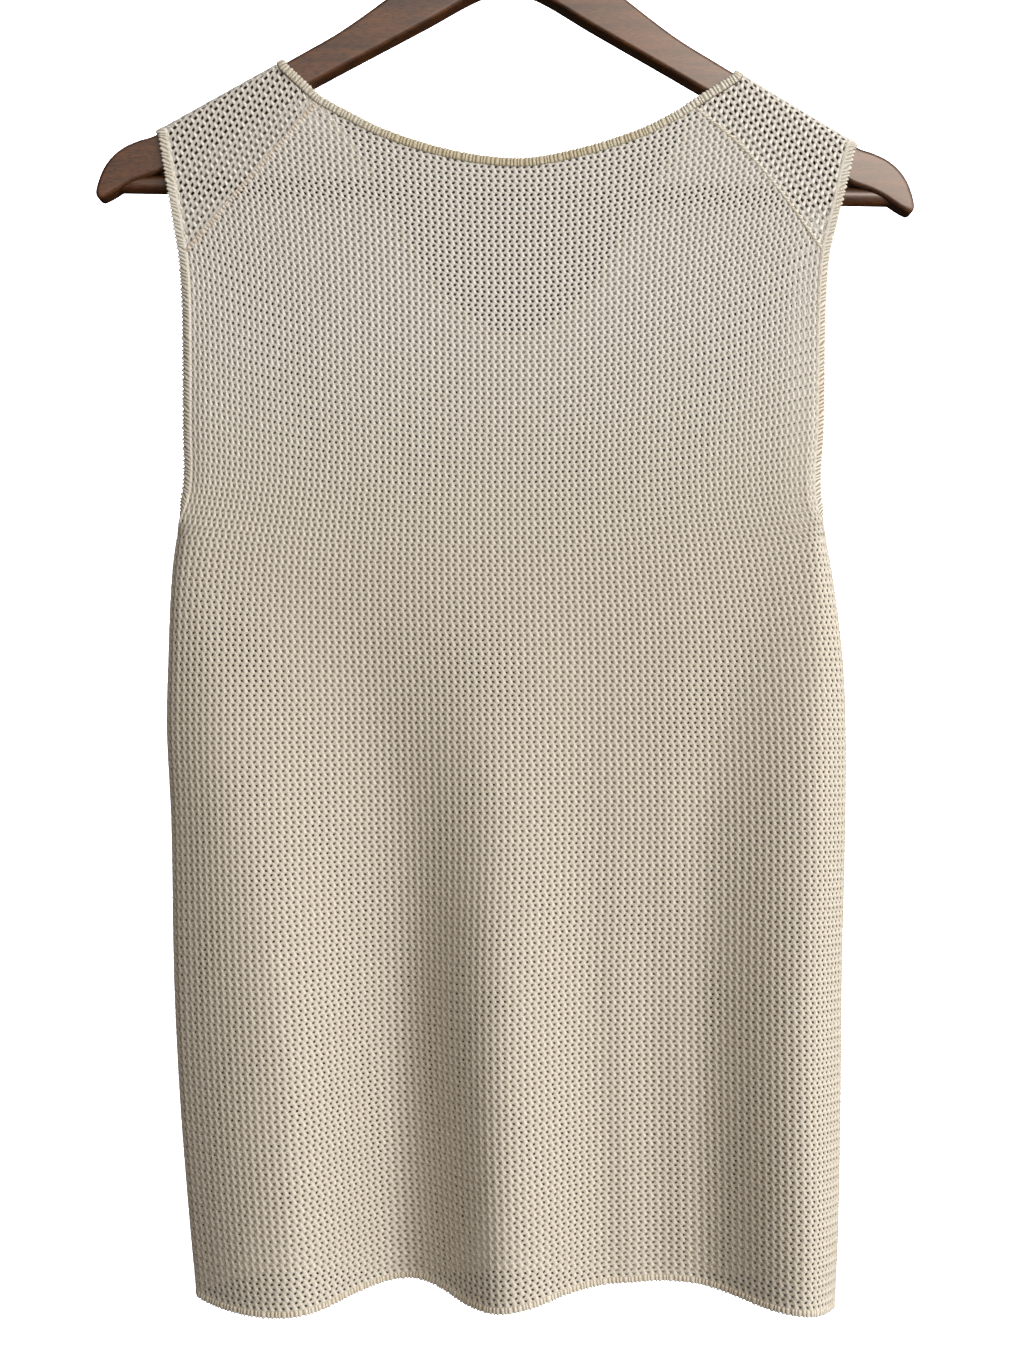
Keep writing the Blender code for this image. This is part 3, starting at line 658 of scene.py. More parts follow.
# Sizes of the other patterns, per metre
FIBRES = 1400.0  # tufts of fibre 0.7 mm wide, drawn coarser than the yarn's so that they show
MOTTLE = 60.0  # soft patches 17 mm wide
FIGURE, FIGURE_STRETCH = 20.0, (1.0, 6.0, 9.0)  # the wood's figure, 50 mm long and 6 mm wide
PORES, PORE_STRETCH = 260.0, (1.0, 5.0, 7.0)  # pores 4 mm long and 0.6 mm wide, real ones don't show
HAZE = 300.0  # haze on the plating, in patches of 3 mm
BOARD_GRAIN = 40.0  # brush marks 25 mm wide


def knit_material(sizes):
    """Soft-spun yarn, knitted open, matt: a painted highlight on the slanted strand by each pair of holes,
    painted shade on bars.
    """
    made, tree, shader = new_material("open_knit_cream_yarn")
    uv = add(tree, "UVMap", uv_map="Knit")
    wale, course = add(tree, "SeparateXYZ", {0: uv}).node.outputs[:2]
    nearest = add(tree, "Math", {0: wale}, operation="ROUND")
    off_wale = add(tree, "Math", {0: wale, 1: nearest}, operation="SUBTRACT")
    row = add(tree, "Math", {0: course, 1: 2.0}, operation="FLOORED_MODULO")
    slant = add(tree, "Math", {0: row, 1: -STRAND_LEAN, 2: STRAND_LEAN}, operation="MULTIPLY_ADD")
    off_strand = add(tree, "Math", {0: off_wale, 1: slant}, operation="SUBTRACT")
    off_strand = add(tree, "Math", {0: off_strand}, operation="ABSOLUTE")
    strand = add(tree, "MapRange", {0: off_strand, 1: STRAND_EDGE, 2: STRAND_CORE}, **SMOOTH)
    stitch = add(tree, "VectorMath", {0: uv}, operation="FLOOR")
    chance = add(tree, "TexWhiteNoise", {"Vector": stitch}, noise_dimensions="2D")
    fullness = add(tree, "MapRange", {0: chance, 3: 0.65, 4: 1.0})
    # the same yarn drawn lighter on the strands, a painted highlight, and darker on the bars, painted shade
    strand_highlight = add(tree, "Math", {0: strand, 1: fullness}, operation="MULTIPLY")
    base = add(tree, "Mix", {0: strand_highlight, 6: tuple(sizes.bar_painted_shade), 7: tuple(sizes.yarn_highlight_colour)}, **RGBA)
    place = add(tree, "TexCoord", out="Object")
    height = add(tree, "SeparateXYZ", {0: place}, 2)
    # painted shade: the lower body a little darker and warmer than the top
    base = tinted(tree, base, height, *LOW_PAINTED_SHADE, "F5F1E8", "FFFFFF")
    fibre = add(tree, "TexNoise", {"Vector": uv, "Scale": STITCH_FIBRES, "Detail": 3.0})
    base = tinted(tree, base, fibre, 0.35, 0.75, "EDE8DE", "FFFFFF")
    relief = add(tree, "Math", {0: fibre, 1: 0.5, 2: strand}, operation="MULTIPLY_ADD")
    finish(tree, shader, base, relief, distance=0.0005, strength=0.45, **YARN)
    return made


def rib_material(name, base, groove_shade, pitch, slant=0.0, start=-1.0, speck="DCD6CA", ends=None, line=None):
    """The same yarn, knitted tight and linked on: matt ribs across a band, with painted shade in the grooves
    between.

    The grooves lie `pitch` mm apart and begin `start` mm across the band. `ends` gives the axis and the two
    distances along it between which the base and groove change, and their colours past those, and `line` the
    reach in mm and the colour of a soft line beside the cloth.
    """
    made, tree, shader = new_material(name)
    uv = add(tree, "UVMap", uv_map="Band")
    along, across = add(tree, "SeparateXYZ", {0: uv}).node.outputs[:2]
    place = add(tree, "TexCoord", out="Object")
    turn = add(tree, "Math", {0: across, 1: slant, 2: along}, operation="MULTIPLY_ADD")
    turn = add(tree, "Math", {0: turn, 1: pitch}, operation="DIVIDE")
    off_groove = add(tree, "Math", {0: turn, 1: 0.5}, operation="PINGPONG")
    # where the painted shade of the grooves lies
    groove_shade_mask = add(tree, "MapRange", {0: off_groove, 1: 0.15, 2: 0.5}, **SMOOTH)
    begun = add(tree, "MapRange", {0: across, 1: start, 2: start + 0.8})
    groove_shade_mask = add(tree, "Math", {0: groove_shade_mask, 1: begun}, operation="MULTIPLY")
    shades = [base, groove_shade]
    if ends:
        axis, begin, full, end_base, end_groove_shade = ends
        reach = add(tree, "SeparateXYZ", {0: place}, axis)
        reach = add(tree, "Math", {0: reach}, operation="ABSOLUTE")
        near = add(tree, "MapRange", {0: reach, 1: begin, 2: full}, **SMOOTH)
        shades = [
            add(tree, "Mix", {0: near, 6: shade, 7: end}, **RGBA)
            for shade, end in zip(shades, (end_base, end_groove_shade))
        ]
    base = add(tree, "Mix", {0: groove_shade_mask, 6: shades[0], 7: shades[1]}, **RGBA)
    uneven = add(tree, "TexNoise", {"Vector": place, "Scale": MOTTLE})
    base = tinted(tree, base, uneven, 0.3, 0.7, "F8F4EC", "FFFFFF")
    fibre = add(tree, "TexNoise", {"Vector": place, "Scale": FIBRES, "Detail": 3.0})
    base = tinted(tree, base, fibre, 0.3, 0.7, speck, "FFFFFF")
    if line:
        reach, line_colour = line
        beside = add(tree, "MapRange", {0: across, 1: reach, 2: 0.0}, **SMOOTH)
        base = add(tree, "Mix", {0: beside, 6: base, 7: line_colour}, **RGBA)
    ribs = add(tree, "Math", {0: 1.0, 1: groove_shade_mask}, operation="SUBTRACT")
    relief = add(tree, "Math", {0: fibre, 1: 0.6, 2: ribs}, operation="MULTIPLY_ADD")
    finish(tree, shader, base, relief, distance=0.0004, strength=0.7, **YARN)
    return made


def wood_material(sizes):
    """Walnut-stained beech, sanded and lacquered to satin: fine grain and pores, a soft broad gloss."""
    made, tree, shader = new_material("walnut_stained_lacquered_wood")
    place = add(tree, "TexCoord", out="Object")
    along = add(tree, "Mapping", {"Vector": place, "Scale": FIGURE_STRETCH})
    figure = add(tree, "TexNoise", {"Vector": along, "Scale": FIGURE, "Detail": 5.0, "Roughness": 0.65})
    amount = add(tree, "MapRange", {0: figure, 1: 0.3, 2: 0.72}, **SMOOTH)
    base = add(tree, "Mix", {0: amount, 6: tuple(sizes.wood_dark), 7: tuple(sizes.wood_light)}, **RGBA)
    finer = add(tree, "Mapping", {"Vector": place, "Scale": PORE_STRETCH})
    pores = add(tree, "TexNoise", {"Vector": finer, "Scale": PORES, "Detail": 4.0, "Roughness": 0.7})
    base = tinted(tree, base, pores, 0.3, 0.6, "8A7668", "FFFFFF")
    satin = {"Roughness": 0.45, "Coat_Weight": 0.15, "Coat_Roughness": 0.35}
    finish(tree, shader, base, pores, distance=0.0001, strength=0.2, **satin)
    return made


def wire_material():
    """Bright nickel-chrome plate on drawn steel wire: mirror-like, with a faint haze."""
    made, tree, shader = new_material("chrome_plated_steel_wire")
    place = add(tree, "TexCoord", out="Object")
    haze = add(tree, "TexNoise", {"Vector": place, "Scale": HAZE, "Detail": 3.0})
    base = add(tree, "Mix", {0: haze, 6: colour("C8C8C6"), 7: colour("DADAD8")}, **RGBA)
    finish(tree, shader, base, haze, distance=0.00005, strength=0.15, Metallic=1.0, Roughness=0.18)
    return made


def board_material(name, hex_code, see_through_back=False):
    """Matt painted board. The backdrop can be seen through from behind, where it would hide the garment."""
    made, tree, shader = new_material(name)
    place = add(tree, "TexCoord", out="Object")
    grain = add(tree, "TexNoise", {"Vector": place, "Scale": BOARD_GRAIN})
    finish(tree, shader, colour(hex_code), grain, distance=0.0001, strength=0.05, Roughness=0.9)
    if see_through_back:
        back = add(tree, "NewGeometry", out="Backfacing")
        clear = add(tree, "BsdfTransparent")
        either = add(tree, "MixShader", {0: back, 1: shader.outputs[0], 2: clear})
        feed(tree, tree.nodes["Material Output"], {0: either})
    return made


def shared(name, make, *values):
    """The material of that name, made by `make` the first time."""
    return bpy.data.materials.get(name) or make(*values)


# ---------------------------------------------------------------- pieces


def add_object(name, data):
    """An object with that data, in the scene."""
    obj = bpy.data.objects.new(name, data)
    bpy.context.scene.collection.objects.link(obj)
    return obj


def add_piece(name, data, material, nodes):
    """The finished piece, riding on the body in place of its CAD nodes."""
    obj = add_object(name, data)
    data.materials.clear()
    data.materials.append(material)
    data.shade_smooth()
    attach(obj, BODY)
    if nodes:
        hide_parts(*nodes)
    return obj


def mesh_data(name, mesh):
    """Mesh data of that name from a finished bmesh."""
    data = bpy.data.meshes.new(name)
    mesh.to_mesh(data)
    mesh.free()
    return data


def grid(columns, rows, matrix=None):
    """A flat grid of faces as a bmesh."""
    mesh = bmesh.new()
    place = matrix or Matrix.Identity(4)
    bmesh.ops.create_grid(mesh, x_segments=columns, y_segments=rows, size=0.5, matrix=place)
    mesh.verts.ensure_lookup_table()
    return mesh


def spots(mesh):
    """Places of a plain grid's vertices, from 0 to 1 each way."""
    return np.array([vertex.co for vertex in mesh.verts])[:, :2] + 0.5


def move(mesh, points):
    """Puts a bmesh's vertices at points in millimetres."""
    for vertex, point in zip(mesh.verts, points * MM):
        vertex.co = point


def net_mesh(wales, courses, hole_width, hole_height):
    """Flat net with a hole a stitch as mesh data, and its vertices as (wales, courses)."""
    inset = (1 - hole_height) / 2
    wide = 2 * inset / (1 - hole_width)
    mesh = grid(wales, courses, Matrix.Diagonal((wales * wide, courses, 1.0, 1.0)))
    holes = list(mesh.faces)
    bmesh.ops.inset_individual(mesh, faces=holes, thickness=inset, use_even_offset=True)
    bmesh.ops.delete(mesh, geom=holes, context="FACES")
    data = mesh_data("net", mesh)
    flat = np.empty(len(data.vertices) * 3)
    data.vertices.foreach_get("co", flat)
    flat = flat.reshape(-1, 3)
    return data, np.column_stack((flat[:, 0] / wide + wales / 2, flat[:, 1] + courses / 2))


def stitched(lattice, sizes, closing=1.0):
    """The net's vertices in their stitches' shape: places on the lattice, and lifts off the surface in mm.

    `closing` is the size of the holes as a share of the full one.
    """
    u, v = lattice.T
    node = (np.abs(u - np.round(u)) < CORNER) & (np.abs(v - np.round(v)) < CORNER)
    cell_u, cell_v = np.floor(u) + 0.5, np.floor(v) + 0.5
    off_u, off_v = (u - cell_u) * closing, (v - cell_v) * closing
    odd = np.where(np.floor(v) % 2 > 0, 1.0, -1.0)
    hole_u = cell_u + odd * -sizes.zigzag + off_u + odd * sizes.hole_lean * off_v
    node_odd = np.where(np.round(v) % 2 > 0, 1.0, -1.0)
    node_u = u + node_odd * sizes.zigzag * 0.5
    places = np.column_stack((np.where(node, node_u, hole_u), np.where(node, v, cell_v + off_v)))
    relief = sizes.relief / MM
    lifts = np.where(node, relief / 2, -relief / 2)
    return places, lifts


def placed(data, points, clamped, lattice, turned):
    """Puts the net's vertices in place, drops what lies past the panel's outline and stores its lattice."""
    data.vertices.foreach_set("co", (points * MM).ravel())
    loops = np.empty(len(data.loops), dtype=np.int32)
    data.loops.foreach_get("vertex_index", loops)
    layer = data.uv_layers.new(name="Knit")
    layer.data.foreach_set("uv", lattice[loops].ravel())
    mesh = bmesh.new()
    mesh.from_mesh(data)
    mesh.verts.ensure_lookup_table()
    past = [face for face in mesh.faces if all(clamped[vertex.index] for vertex in face.verts)]
    bmesh.ops.delete(mesh, geom=past, context="FACES")
    if turned:
        bmesh.ops.reverse_faces(mesh, faces=mesh.faces)
    bpy.data.meshes.remove(data)
    return mesh_data("net", mesh)


def panel_net(panel, sizes):
    """The knit of one panel's body."""
    face = PANELS[panel]["face"]
    form = panel_form(panel)
    pitch = sizes.course_pitch / MM
    courses = int((KNIT_END - KNIT_TOP) / pitch)
    data, lattice = net_mesh(sizes.wales, courses, sizes.hole_width, sizes.hole_height)
    closing = np.interp(KNIT_END - lattice[:, 1] * pitch, *zip(*HOLE_CLOSING))
    places, lifts = stitched(lattice, sizes, closing)
    share = np.clip(places[:, 0] / sizes.wales, 0, 1)
    height = places[:, 1] * pitch
    hem = hem_line(panel, share, HEM_WIDTH + BAND_GAP)
    level = KNIT_END - height
    rise = through(COURSE_RISE, level)
    crowding = np.interp(level, *zip(*WALE_CROWDING))
    side = share * 2 - 1
    share = (side * (1 + crowding) - crowding * side**3 + 1) / 2
    line = top_line(panel)
    drop = level + (hem - KNIT_END) * np.exp(-height / HEM_FADE)
    base = drop.copy()
    for _ in range(3):
        x = on_panel(form, face, share, drop)[0][:, 0]
        drop = base - rise * x**2
    clamped = np.zeros(len(drop), dtype=bool)
    for _ in range(3):
        x = on_panel(form, face, share, drop)[0][:, 0]
        limit = np.interp(x, line[:, 0], line[:, 1]) - TUCK
        clamped |= drop < limit
        drop = np.maximum(drop, limit)
    points, normals = on_panel(form, face, share, drop)
    points = points + normals * lifts[:, None]
    return placed(data, points, clamped, lattice, panel == "front")


def strap_net(side, sizes):
    """The knit of one strap, from its seam on the back over the arm to the front body.

    Its wales run parallel, at STRAP_WALE on the back's left strap, and the strap's own edges cut across them.
    """
    table, normals, reaches = strap_form(side)
    feet = table[:, 0, ::2]
    ways = unit(table[:, STRAP_AIM, ::2] - feet)
    shares = np.linspace(-0.5, 1.5, STRAP_LINES)
    inside = np.linspace(0, 1, len(feet))
    past = np.clip(shares, 0, 1) - shares
    foot = curved(shares, inside, feet) - past[:, None] * (feet[-1] - feet[0])
    way = unit(between(shares, inside, ways))
    wale, course = (np.array(step) * (-OUT[side], 1.0) for step in (STRAP_WALE, STRAP_STEP))
    steps = np.column_stack((wale, course))
    corners = np.concatenate((feet[[0, -1]], feet[[0, -1]] + ways[[0, -1]] * reaches[[0, -1]][:, None]))
    ends = np.linalg.solve(steps, (corners - corners[0]).T).T
    low, high = np.floor(ends.min(axis=0)) - 2, np.ceil(ends.max(axis=0)) + 2
    low[1] -= low[1] % 2
    count = (high - low).astype(int)
    data, lattice = net_mesh(int(count[0]), int(count[1]), sizes.strap_hole, sizes.strap_hole)
    places, lifts = stitched(lattice, sizes)
    flat = (places + low) @ steps.T + corners[0]
    offset = flat[:, None] - foot
    miss = offset[..., 0] * way[:, 1] - offset[..., 1] * way[:, 0]
    rows, last = np.arange(len(flat)), len(shares) - 1
    at = np.abs(miss).argmin(axis=1)
    beyond = miss[rows, at] * miss[rows, np.minimum(at + 1, last)] > 0
    near = np.clip(np.where(beyond, at - 1, at + 1), 0, last)
    here, there = np.abs(miss[rows, at]), np.abs(miss[rows, near])
    part = here / np.maximum(here + there, 1e-9)
    share = lerp(shares[at], shares[near], part)
    base = lerp(foot[at], foot[near], part[:, None])
    along = ((flat - base) * unit(lerp(way[at], way[near], part[:, None]))).sum(axis=1)
    reach = np.interp(share, inside, reaches)
    clamped = (along > reach) | (along < SEAM_GAP) | (share < 0) | (share > 1)
    row = np.clip(share, 0, 1) * (table.shape[0] - 1)
    column = np.clip(along / reach, SEAM_GAP / reach, 1.0) * (table.shape[1] - 1)
    points = sample(table, row, column) + unit(sample(normals, row, column)) * lifts[:, None]
    return placed(data, points, clamped, lattice, side == "right")


def joined(name, parts):
    """One mesh of several, which are removed."""
    mesh = bmesh.new()
    for part in parts:
        mesh.from_mesh(part)
        bpy.data.meshes.remove(part)
    loose = [vertex for vertex in mesh.verts if not vertex.link_faces]
    bmesh.ops.delete(mesh, geom=loose, context="VERTS")
    return mesh_data(name, mesh)


def even_line(points, normals, step, closed):
    """The line with points at even steps, a whole number of them round a ring."""
    if closed:
        points = np.concatenate((points, points[:1]))
        normals = np.concatenate((normals, normals[:1]))
    lengths = lengths_along(points)
    count = max(int(round(lengths[-1] / step)), 4)
    at = np.linspace(0, lengths[-1], count + 1)
    return between(at, lengths, points), unit(between(at, lengths, normals)), at


def eased(vectors):
    """Directions round a closed line, evened out between neighbours."""
    core = vectors[:-1]
    for _ in range(6):
        core = unit(core + (np.roll(core, 1, axis=0) + np.roll(core, -1, axis=0)) / 2)
    return np.concatenate((core, core[:1]))


def band_mesh(name, line, inner, outer, thickness, pitch, slant, relief, **extras):
    """A ribbed band along a line, `inner` mm over the cloth and `outer` mm past its edge.

    The extras are those of BAND_EXTRAS: the depth of its toothed free edge, how far that edge curls in below
    the arms, a lift off the cloth, whether it is a ring, the side that it lies on, and the drop that it
    narrows towards.
    """
    extra = {**BAND_EXTRAS, **extras}
    points, normals, at = even_line(*line, pitch / 4, extra["closed"])
    rings = len(points) - 1
    if extra["closed"]:
        tangents = np.roll(points[:-1], -1, axis=0) - np.roll(points[:-1], 1, axis=0)
        tangents, normals = eased(unit(np.concatenate((tangents, tangents[:1])))), eased(normals)
    else:
        tangents = unit(np.gradient(points, axis=0))
    away = unit(np.cross(tangents, normals)) * extra["side"]
    drops = -points[:, 2]
    width = np.ones(len(points))
    if extra["foot"]:
        width = lerp(FOOT_WIDTH, 1.0, smooth_step((extra["foot"] - drops) / FOOT_HEIGHT))
    curl = extra["curl"] * smooth_step((drops - CURL_START) / CURL_HEIGHT)

    mesh = grid(rings, BAND_STEPS)
    flat = spots(mesh)
    ring = np.round(flat[:, 0] * rings).astype(int)
    turn = flat[:, 1] * 2 * math.pi
    cos, sin = (np.sign(part) * np.abs(part) ** BAND_SQUARENESS for part in (np.cos(turn), np.sin(turn)))
    across = (outer - inner) / 2 + (inner + outer) / 2 * cos
    ribs = max(round(at[-1] / pitch), 1)
    whole = at[-1] / ribs
    round_trip = 2 * math.pi * at / at[-1]
    shift = sum(np.sin(round_trip * round(ribs * share) + share) for share in RIB_SWAYS)
    at = at + RIB_SWAY * whole * shift
    wave = np.cos(2 * math.pi * (at[ring] + slant * across) / whole)
    depth = thickness / 2 * sin * (1 + relief * wave) + extra["lift"]
    depth = depth - curl[ring] * np.clip(across / outer, 0, 1) ** 2
    outermost = np.clip((across - (outer - TOOTH_REACH)) / TOOTH_REACH, 0, 1)
    reach = (across + extra["teeth"] * wave * outermost) * width[ring]
    place = points[ring] + away[ring] * reach[:, None] + normals[ring] * depth[:, None]
    layer = mesh.loops.layers.uv.new("Band")
    for face in mesh.faces:
        for loop in face.loops:
            k = loop.vert.index
            loop[layer].uv = (at[ring[k]] * pitch / whole, across[k])
    move(mesh, place)
    bmesh.ops.remove_doubles(mesh, verts=mesh.verts, dist=0.001 * MM)
    if not extra["closed"]:
        rim = [edge for edge in mesh.edges if edge.is_boundary]
        bmesh.ops.holes_fill(mesh, edges=rim, sides=0)
    bmesh.ops.recalc_face_normals(mesh, faces=mesh.faces)
    return mesh_data(name, mesh)


def curve_mesh(name, points, matrix, cyclic, **settings):
    """Mesh of a poly curve through points in millimetres, with its caps welded on and its place applied."""
    curve = bpy.data.curves.new(name, "CURVE")
    spline = curve.splines.new("POLY")
    spline.points.add(len(points) - 1)
    for point, place in zip(spline.points, points):
        point.co = (*(c * MM for c in place), 1.0)
    spline.use_cyclic_u = cyclic
    for key, value in settings.items():
        setattr(curve, key, value)
    obj = add_object(name, curve)
    graph = bpy.context.evaluated_depsgraph_get()
    data = bpy.data.meshes.new_from_object(obj.evaluated_get(graph))
    bpy.data.objects.remove(obj)
    mesh = bmesh.new()
    mesh.from_mesh(data)
    bpy.data.meshes.remove(data)
    bmesh.ops.remove_doubles(mesh, verts=mesh.verts, dist=0.01 * MM)
    bmesh.ops.transform(mesh, matrix=matrix, verts=mesh.verts)
    return mesh_data(name, mesh)


# ---------------------------------------------------------------- settings


COLOUR = {"size": 4, "subtype": "COLOR"}


class KnitSettings(bpy.types.PropertyGroup):
    wales: bpy.props.IntProperty(name="Wales", description="Columns of stitches across a panel", default=101)
    course_pitch: bpy.props.FloatProperty(
        name="Course pitch",
        description="Height of one row of stitches",
        default=0.0025,
        unit="LENGTH",
        precision=5,
    )
    hole_width: bpy.props.FloatProperty(
        name="Hole width",
        description="Share of a stitch's width that is open",
        default=0.37,
        subtype="FACTOR",
    )
    hole_height: bpy.props.FloatProperty(
        name="Hole height",
        description="Share of a stitch's height that is open",
        default=0.54,
        subtype="FACTOR",
    )
    strap_hole: bpy.props.FloatProperty(
        name="Strap hole",
        description="Share of a stitch's width and height that is open on the straps",
        default=0.5,
        subtype="FACTOR",
    )
    zigzag: bpy.props.FloatProperty(
        name="Zigzag", description="Sideways shift of every other hole, in stitches", default=0.13
    )
    hole_lean: bpy.props.FloatProperty(name="Hole lean", description="How much the holes lean", default=0.25)
    relief: bpy.props.FloatProperty(
        name="Relief",
        description="Depth from the strands to the rims of the holes",
        default=0.0007,
        unit="LENGTH",
    )
    # painted highlight: the yarn's colour made lighter on its strands
    yarn_highlight_colour: bpy.props.FloatVectorProperty(
        name="Yarn", description="Lit strands of the yarn", default=colour("EFECE7"), **COLOUR
    )
    # painted shade: the yarn's colour made darker on the bars between the holes
    bar_painted_shade: bpy.props.FloatVectorProperty(
        name="Yarn shade", description="Bars between the holes", default=colour("D2CDC6"), **COLOUR
    )
    rib_colour: bpy.props.FloatVectorProperty(
        name="Ribs", description="Ribs of the bindings", default=colour("EDE8DF"), **COLOUR
    )
    # painted shade in the grooves of the bindings
    rib_groove_shade: bpy.props.FloatVectorProperty(
        name="Grooves", description="Grooves of the bindings", default=colour("88775C"), **COLOUR
    )


class HangerSettings(bpy.types.PropertyGroup):
    wood_dark: bpy.props.FloatVectorProperty(
        name="Dark grain", description="Darker grain of the wood", default=colour("40230F"), **COLOUR
    )
    wood_light: bpy.props.FloatVectorProperty(
        name="Light grain", description="Lighter grain of the wood", default=colour("6C401C"), **COLOUR
    )


class StageSettings(bpy.types.PropertyGroup):
    camera_distance: bpy.props.FloatProperty(
        name="Camera distance", description="From the origin", default=1.0, unit="LENGTH"
    )
    camera_drop: bpy.props.FloatProperty(
        name="Camera drop", description="Below the origin", default=0.475, unit="LENGTH"
    )
    lens: bpy.props.FloatProperty(name="Lens", description="Focal length in mm", default=48.5)
    wall_distance: bpy.props.FloatProperty(
        name="Backdrop distance", description="Behind the hanger's middle", default=0.055, unit="LENGTH"
    )
    floor_drop: bpy.props.FloatProperty(
        name="Floor drop", description="Below the origin", default=0.92, unit="LENGTH"
    )


# ---------------------------------------------------------------- operators


def hook_route():
    """The hook's wire from its foot in the wood, through a bend, round to its open end."""
    radius = HOOK_INNER_RADIUS + WIRE_RADIUS
    centre = Vector((0, 0, -HOOK_INNER_RADIUS))
    foot = Vector((0, 0, -(ARM_TOP[0][1] + HOOK_FOOT)))
    bend = Vector((0, 0, -HOOK_STEM_TOP))
    start = centre + radius * Vector((math.cos(HOOK_ARC_START), 0, math.sin(HOOK_ARC_START)))
    away = Vector((-math.sin(HOOK_ARC_START), 0, math.cos(HOOK_ARC_START)))
    reach = (start - bend).length * HOOK_BEND
    handles = bend, bend + Vector((0, 0, reach)), start - away * reach, start
    route = [foot, foot.lerp(bend, 0.5)]
    for k in range(HOOK_BEND_STEPS):
        t = k / HOOK_BEND_STEPS
        weights = (1 - t) ** 3, 3 * t * (1 - t) ** 2, 3 * t * t * (1 - t), t**3
        route.append(sum((w * handle for w, handle in zip(weights, handles)), Vector()))
    for k in range(HOOK_ARC_STEPS + 1):
        angle = lerp(HOOK_ARC_START, HOOK_ARC_END, k / HOOK_ARC_STEPS)
        route.append(centre + radius * Vector((math.cos(angle), 0, math.sin(angle))))
    return route


class TANKTOP_OT_hanger(bpy.types.Operator):
    """Wooden hanger with its trouser bar and hook"""

    bl_idname = "tanktop.hanger"
    bl_label = "Add Hanger"

    def execute(self, context):
        sizes = context.scene.tanktop_hanger
        wood = shared("walnut_stained_lacquered_wood", wood_material, sizes)
        hang = Matrix.Rotation(TILT, 4, "Y")
        right = (smooth_line(ARM_TOP, ARM_TOP_STEPS), smooth_line(ARM_BOTTOM, ARM_BOTTOM_STEPS))
        right = np.concatenate(right)
        outline = [(x, -drop, 0) for x, drop in right] + [(-x, -drop, 0) for x, drop in right[-2:0:-1]]
        body = curve_mesh(
            "hanger_wood",
            outline,
            hang @ Matrix.Rotation(math.pi / 2, 4, "X"),
            cyclic=True,
            dimensions="2D",
            fill_mode="BOTH",
            extrude=(ARM_THICKNESS / 2 - ARM_EDGE_ROUNDING) * MM,
            bevel_depth=ARM_EDGE_ROUNDING * MM,
            bevel_resolution=4,
            offset=-ARM_EDGE_ROUNDING * MM,
        )
        arms = add_piece("hanger_wood", body, wood, ["hanger_body"])
        arms.modifiers.new("Flat faces", "WEIGHTED_NORMAL")
        mesh = bmesh.new()
        bmesh.ops.create_cone(
            mesh,
            cap_ends=True,
            segments=BAR_SIDES,
            radius1=BAR_RADIUS * MM,
            radius2=BAR_RADIUS * MM,
            depth=2 * BAR_HALF_LENGTH * MM,
            matrix=hang @ Matrix.Translation((0, 0, -BAR_DROP * MM)) @ Matrix.Rotation(math.pi / 2, 4, "Y"),
        )
        bar = mesh_data("hanger_bar", mesh)
        add_piece("hanger_bar", bar, wood, ["trouser_bar"])
        bar.set_sharp_from_angle(angle=SHARP_ANGLE)
        hook = curve_mesh(
            "hanger_wire",
            hook_route(),
            hang,
            cyclic=False,
            dimensions="3D",
            bevel_depth=WIRE_RADIUS * MM,
            bevel_resolution=5,
            use_fill_caps=True,
        )
        wire = shared("chrome_plated_steel_wire", wire_material)
        add_piece("hanger_wire", hook, wire, ["hanger_hook"])
        return {"FINISHED"}


class TANKTOP_OT_knit(bpy.types.Operator):
    """Back and front panels of open knit, the front one with its straps"""

    bl_idname = "tanktop.knit"
    bl_label = "Add Knit Panels"

    def execute(self, context):
        sizes = context.scene.tanktop_knit
        yarn = shared("open_knit_cream_yarn", knit_material, sizes)
        back = joined("knit_back", [panel_net("back", sizes)])
        add_piece("knit_back", back, yarn, ["back_panel"])
        parts = [panel_net("front", sizes)] + [strap_net(side, sizes) for side in OUT]
        front = joined("knit_front", parts)
        add_piece("knit_front", front, yarn, ["front_panel"])
        return {"FINISHED"}


class TANKTOP_OT_bands(bpy.types.Operator):
    """Ribbed bindings of the neck and armholes, and the hem's edging"""

    bl_idname = "tanktop.bands"
    bl_label = "Add Bindings"

    def execute(self, context):
        sizes = context.scene.tanktop_knit
        # each band's second colour is the painted shade in its grooves, lighter at the top of the armholes
        # and near the straps
        rib, groove_shade = tuple(sizes.rib_colour), tuple(sizes.rib_groove_shade)
        neck = rib_material(
            "ribbed_binding_neck",
            colour("E0D8C4"),
            colour("B2A78C"),
            NECK_BAND["pitch"],
            speck="C4BAA2",
            ends=(0, 0.055, 0.105, colour("F2EFE9"), colour("C2BBAE")),
            line=(1.5, colour("9C9078")),
        )
        data = band_mesh("rib_neck", neck_ring(), **NECK_BAND)
        add_piece("rib_neck", data, neck, ["neck_binding"])
        arm = rib_material(
            "ribbed_binding_armhole",
            rib,
            groove_shade,
            ARMHOLE_BAND["pitch"],
            ARMHOLE_BAND["slant"],
            start=1.0,
            ends=(2, 0.3, 0.2, colour("EEEAE3"), colour("BDB5A6")),
        )
        for side in OUT:
            name = "rib_armhole_" + side
            data = band_mesh(name, armhole_ring(side), side=-OUT[side], foot=UNDERARM[side], **ARMHOLE_BAND)
            add_piece(name, data, arm, ["armhole_binding_" + side])
        hem = rib_material(
            "ribbed_edging_hem", colour("EDE7DD"), colour("ADA391"), HEM_BAND["pitch"], speck="DAD2C2"
        )
        data = band_mesh("edging_hem", hem_ring(), **HEM_BAND)
        add_piece("edging_hem", data, hem, ["hem_edging"])
        return {"FINISHED"}


